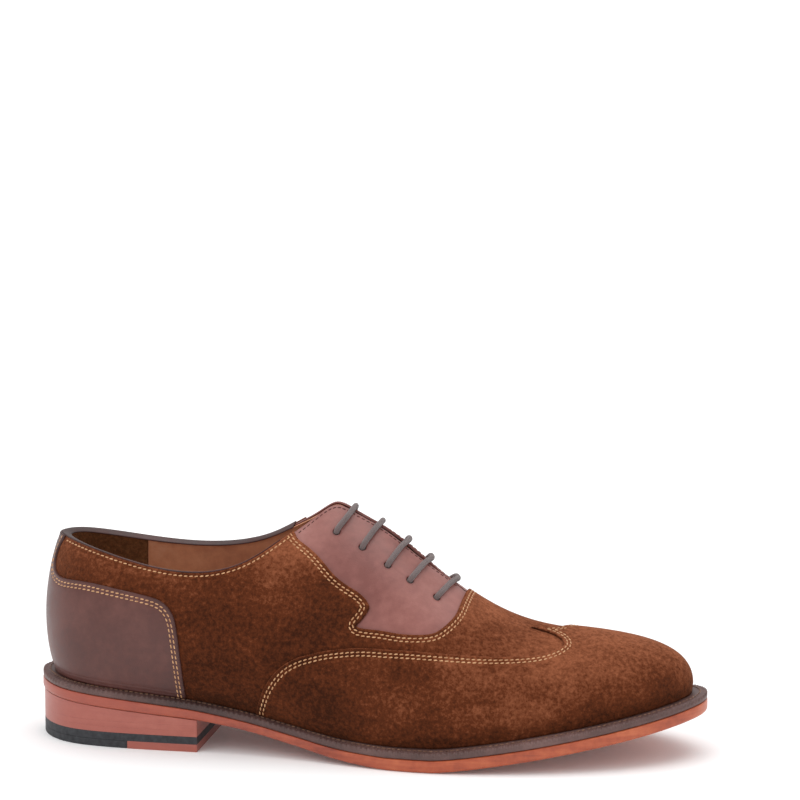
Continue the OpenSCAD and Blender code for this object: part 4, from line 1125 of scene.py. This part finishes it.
def heel_plan(from_x, to_x):
    """The heel's outline up to x = to_x, from its back or from x = from_x."""
    halves = []
    for side in SIDES:
        p = welt_edge(side, np.linspace(0, 6, 1400), HEEL_INSET)
        p = p[p[:, 0] <= to_x]
        p = np.concatenate([p, [[to_x, p[-1, 1]]]])
        if from_x is not None:
            p = p[p[:, 0] >= from_x]
            p = np.concatenate([[[from_x, p[0, 1]]], p])
        halves.append(spaced(p, 1.2))
    outer = halves[0][::-1] if from_x is not None else halves[0][:0:-1]
    return np.concatenate([outer, halves[1]])[::-1]


def heel_layer(name, low, high, finish, slot, from_x=None, to_x=BREAST_X, eased=0.05):
    """One layer of the stack, with its edges eased. Layers are pressed together, so no gap shows."""
    plan = heel_plan(from_x, to_x)
    n = len(plan)
    verts = [(x, y, high(x)) for x, y in plan] + [(x, y, low) for x, y in plan]
    faces = [tuple(range(n)), tuple(range(2 * n - 1, n - 1, -1))]
    faces += [(i, i + n, (i + 1) % n + n, (i + 1) % n) for i in range(n)]
    piece = add_piece(name, verts, faces, finish, 30)
    bpy.ops.object.mode_set(mode="EDIT")
    bpy.ops.mesh.select_all(action="SELECT")
    bpy.ops.mesh.normals_make_consistent(inside=False)
    bpy.ops.object.mode_set(mode="OBJECT")
    bevel = piece.modifiers.new("eased", "BEVEL")
    bevel.width = eased * MM
    bevel.segments = 2
    bevel.limit_method = "ANGLE"
    bevel.angle_limit = math.radians(40)
    bpy.ops.object.modifier_apply(modifier="eased")
    bpy.ops.object.shade_smooth_by_angle(angle=math.radians(30))
    belongs(piece, "shoe", slot, name)


def level(low, thick):
    """A flat top, pressed into the layer above."""
    return lambda x: low + thick + PRESSED


heel_layer("heel_wedge", WEDGE_Z, lambda x: seat_z(x) - 0.02, heel_leather, "sole_leather")
heel_layer("heel_lift_upper", LIFT_2_Z, level(LIFT_2_Z, LIFT_T), heel_leather, "sole_leather")
heel_layer("heel_lift_lower", LIFT_1_Z, level(LIFT_1_Z, LIFT_T), heel_leather, "sole_leather")
heel_layer("heel_rubber", RUBBER_Z, level(RUBBER_Z, RUBBER_T), black_rubber, "black_rubber")
heel_layer("toplift_rubber", 0, level(0, TOPLIFT_T), black_rubber, "black_rubber", to_x=INSERT_X - FIT, eased=0.35)
heel_layer("toplift_leather", 0, level(0, TOPLIFT_T), heel_leather, "sole_leather", from_x=INSERT_X)

# ---- sock lining ----
# A thin tan leather laid over the whole insole and glued, smooth under the foot.
SOCK_IN, SOCK_T, INSOLE_T = 4.8, 1.0, 3
stops = round_the_shoe(3)


def sock_profile(_):
    under = 2 * FIT + INSOLE_T
    return [(inward, welt_top, under + z) for inward, z in ((0.5, SOCK_T), (0.1, SOCK_T - 0.2), (0, 0.5), (0, 0))]


rings = edge_rings(stops, sock_profile, lambda side, u, inward: outline(side, u, -SOCK_IN - inward))
sock = flat_piece(rings, stops, tan_lining, "sock_lining")
belongs(sock, "shoe", "lining_leather", "sock_lining")

# ---- inside the bottom and the stiffeners ----
# Pieces no one sees until the shoe is taken apart: insole and its rib, cork, shank,
# toe puff and heel stiffener, the nails and brads of the heel, and the lace's tips.
insole_leather = smooth_calf("undyed_shoulder_leather", "#a08057", "#c2a077", "#d8bb95", 0.7, 0)
canvas, tree, shader, where = material("taped_canvas")
weave = node(tree, "TexWave", {"Vector": where, "Scale": 160}, wave_type="BANDS").outputs["Fac"]
dye(tree, shader, weave, (0.0, "#b3a488"), (1.0, "#ddd0b6"))
set_shader(shader, Roughness=0.9)
cork, tree, shader, where = material("granulated_cork")
granules = node(tree, "TexVoronoi", {"Vector": where, "Scale": 1000 / 2.2}).outputs["Color"]
granules = node(tree, "SeparateColor", {0: granules}).outputs[0]
dye(tree, shader, granules, (0.0, "#5f4126"), (0.6, "#a37c4e"), (1.0, "#c19a66"))
set_shader(shader, Roughness=0.85)
leatherboard = mottled("pressed_leatherboard", (1.2, 3), "#b7a888", "#d8ccb2", Roughness=0.8)
spring_steel = mottled("tempered_spring_steel", (1.5, 3), "#7f8288", "#a9acb2", Metallic=1.0, Roughness=0.35)
wire_steel = mottled("bright_nail_wire", (1.5, 3), "#9b9ea3", "#bfc2c6", Metallic=1.0, Roughness=0.3)
brass = mottled("clenched_brass", (1.5, 3), "#a37a35", "#cfa557", Metallic=1.0, Roughness=0.32)
lace_tip = mottled("brown_lace_tip", (1.0,), "#332b2a", "#4a403f", Roughness=0.35)
for name, finish in (
    ("insole", insole_leather), ("insole_rib", canvas), ("cork_filler", cork), ("shank", spring_steel),
    ("toe_puff", leatherboard), ("heel_stiffener", leatherboard), ("heel_nails", wire_steel),
    ("toplift_brads", brass), ("aglets", lace_tip),
):
    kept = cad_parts[name]
    kept.data.materials.clear()
    kept.data.materials.append(finish)

# ---- floor and light ----
# A pale floor of painted board under soft studio light: a wide strong overhead, with a
# weaker key from the front left and a weaker fill still from the right.
LIT_POINT = Vector((0, 0, 0.04))
board, tree, shader, where = material("pale_painted_board")
dye(tree, shader, noise(tree, where, 60, 2), (0.3, "#fafafb"), (0.7, "#fdfdfd"))
set_shader(shader, Roughness=0.8, Specular_IOR_Level=0.2)
# The board glows with painted light, faint near the shoe and strong away from it, so it fades to plain white behind
# the shoe and stays unlit where the shoe's shadow falls
away = node(tree, "VectorMath", {0: where}, operation="LENGTH").outputs["Value"]
tree.links.new(remap(tree, away, 0.3, 1.3, 0.04, 0.42), shader.inputs["Emission Strength"])
shader.inputs["Emission Color"].default_value = linear("#ffffff")
bpy.ops.object.select_all(action="DESELECT")
bpy.ops.mesh.primitive_plane_add(size=80)
floor = bpy.context.object
floor.name = "floor"
floor.data.materials.append(board)


def soft_light(name, place, size, power):
    bpy.ops.object.select_all(action="DESELECT")
    bpy.ops.object.light_add(type="AREA", location=place)
    lamp = bpy.context.object
    lamp.name = name
    lamp.data.shape = "RECTANGLE"
    lamp.data.size, lamp.data.size_y = size
    lamp.data.energy = power
    lamp.rotation_euler = (LIT_POINT - Vector(place)).to_track_quat("-Z", "Y").to_euler()


soft_light("key", (-0.9, -1.3, 1.5), (1.6, 1.2), 7)
soft_light("fill", (1.5, -1.2, 0.9), (1.4, 1.4), 1.7)
soft_light("top", (0.1, 0.3, 1.9), (2.2, 1.8), 23)
world = bpy.data.worlds.new("studio")
bpy.context.scene.world = world
world.use_nodes = True
world.node_tree.nodes["Background"].inputs["Color"].default_value = (1, 1, 1, 1)
world.node_tree.nodes["Background"].inputs["Strength"].default_value = 0.74
bpy.context.scene.view_settings.view_transform = "Standard"
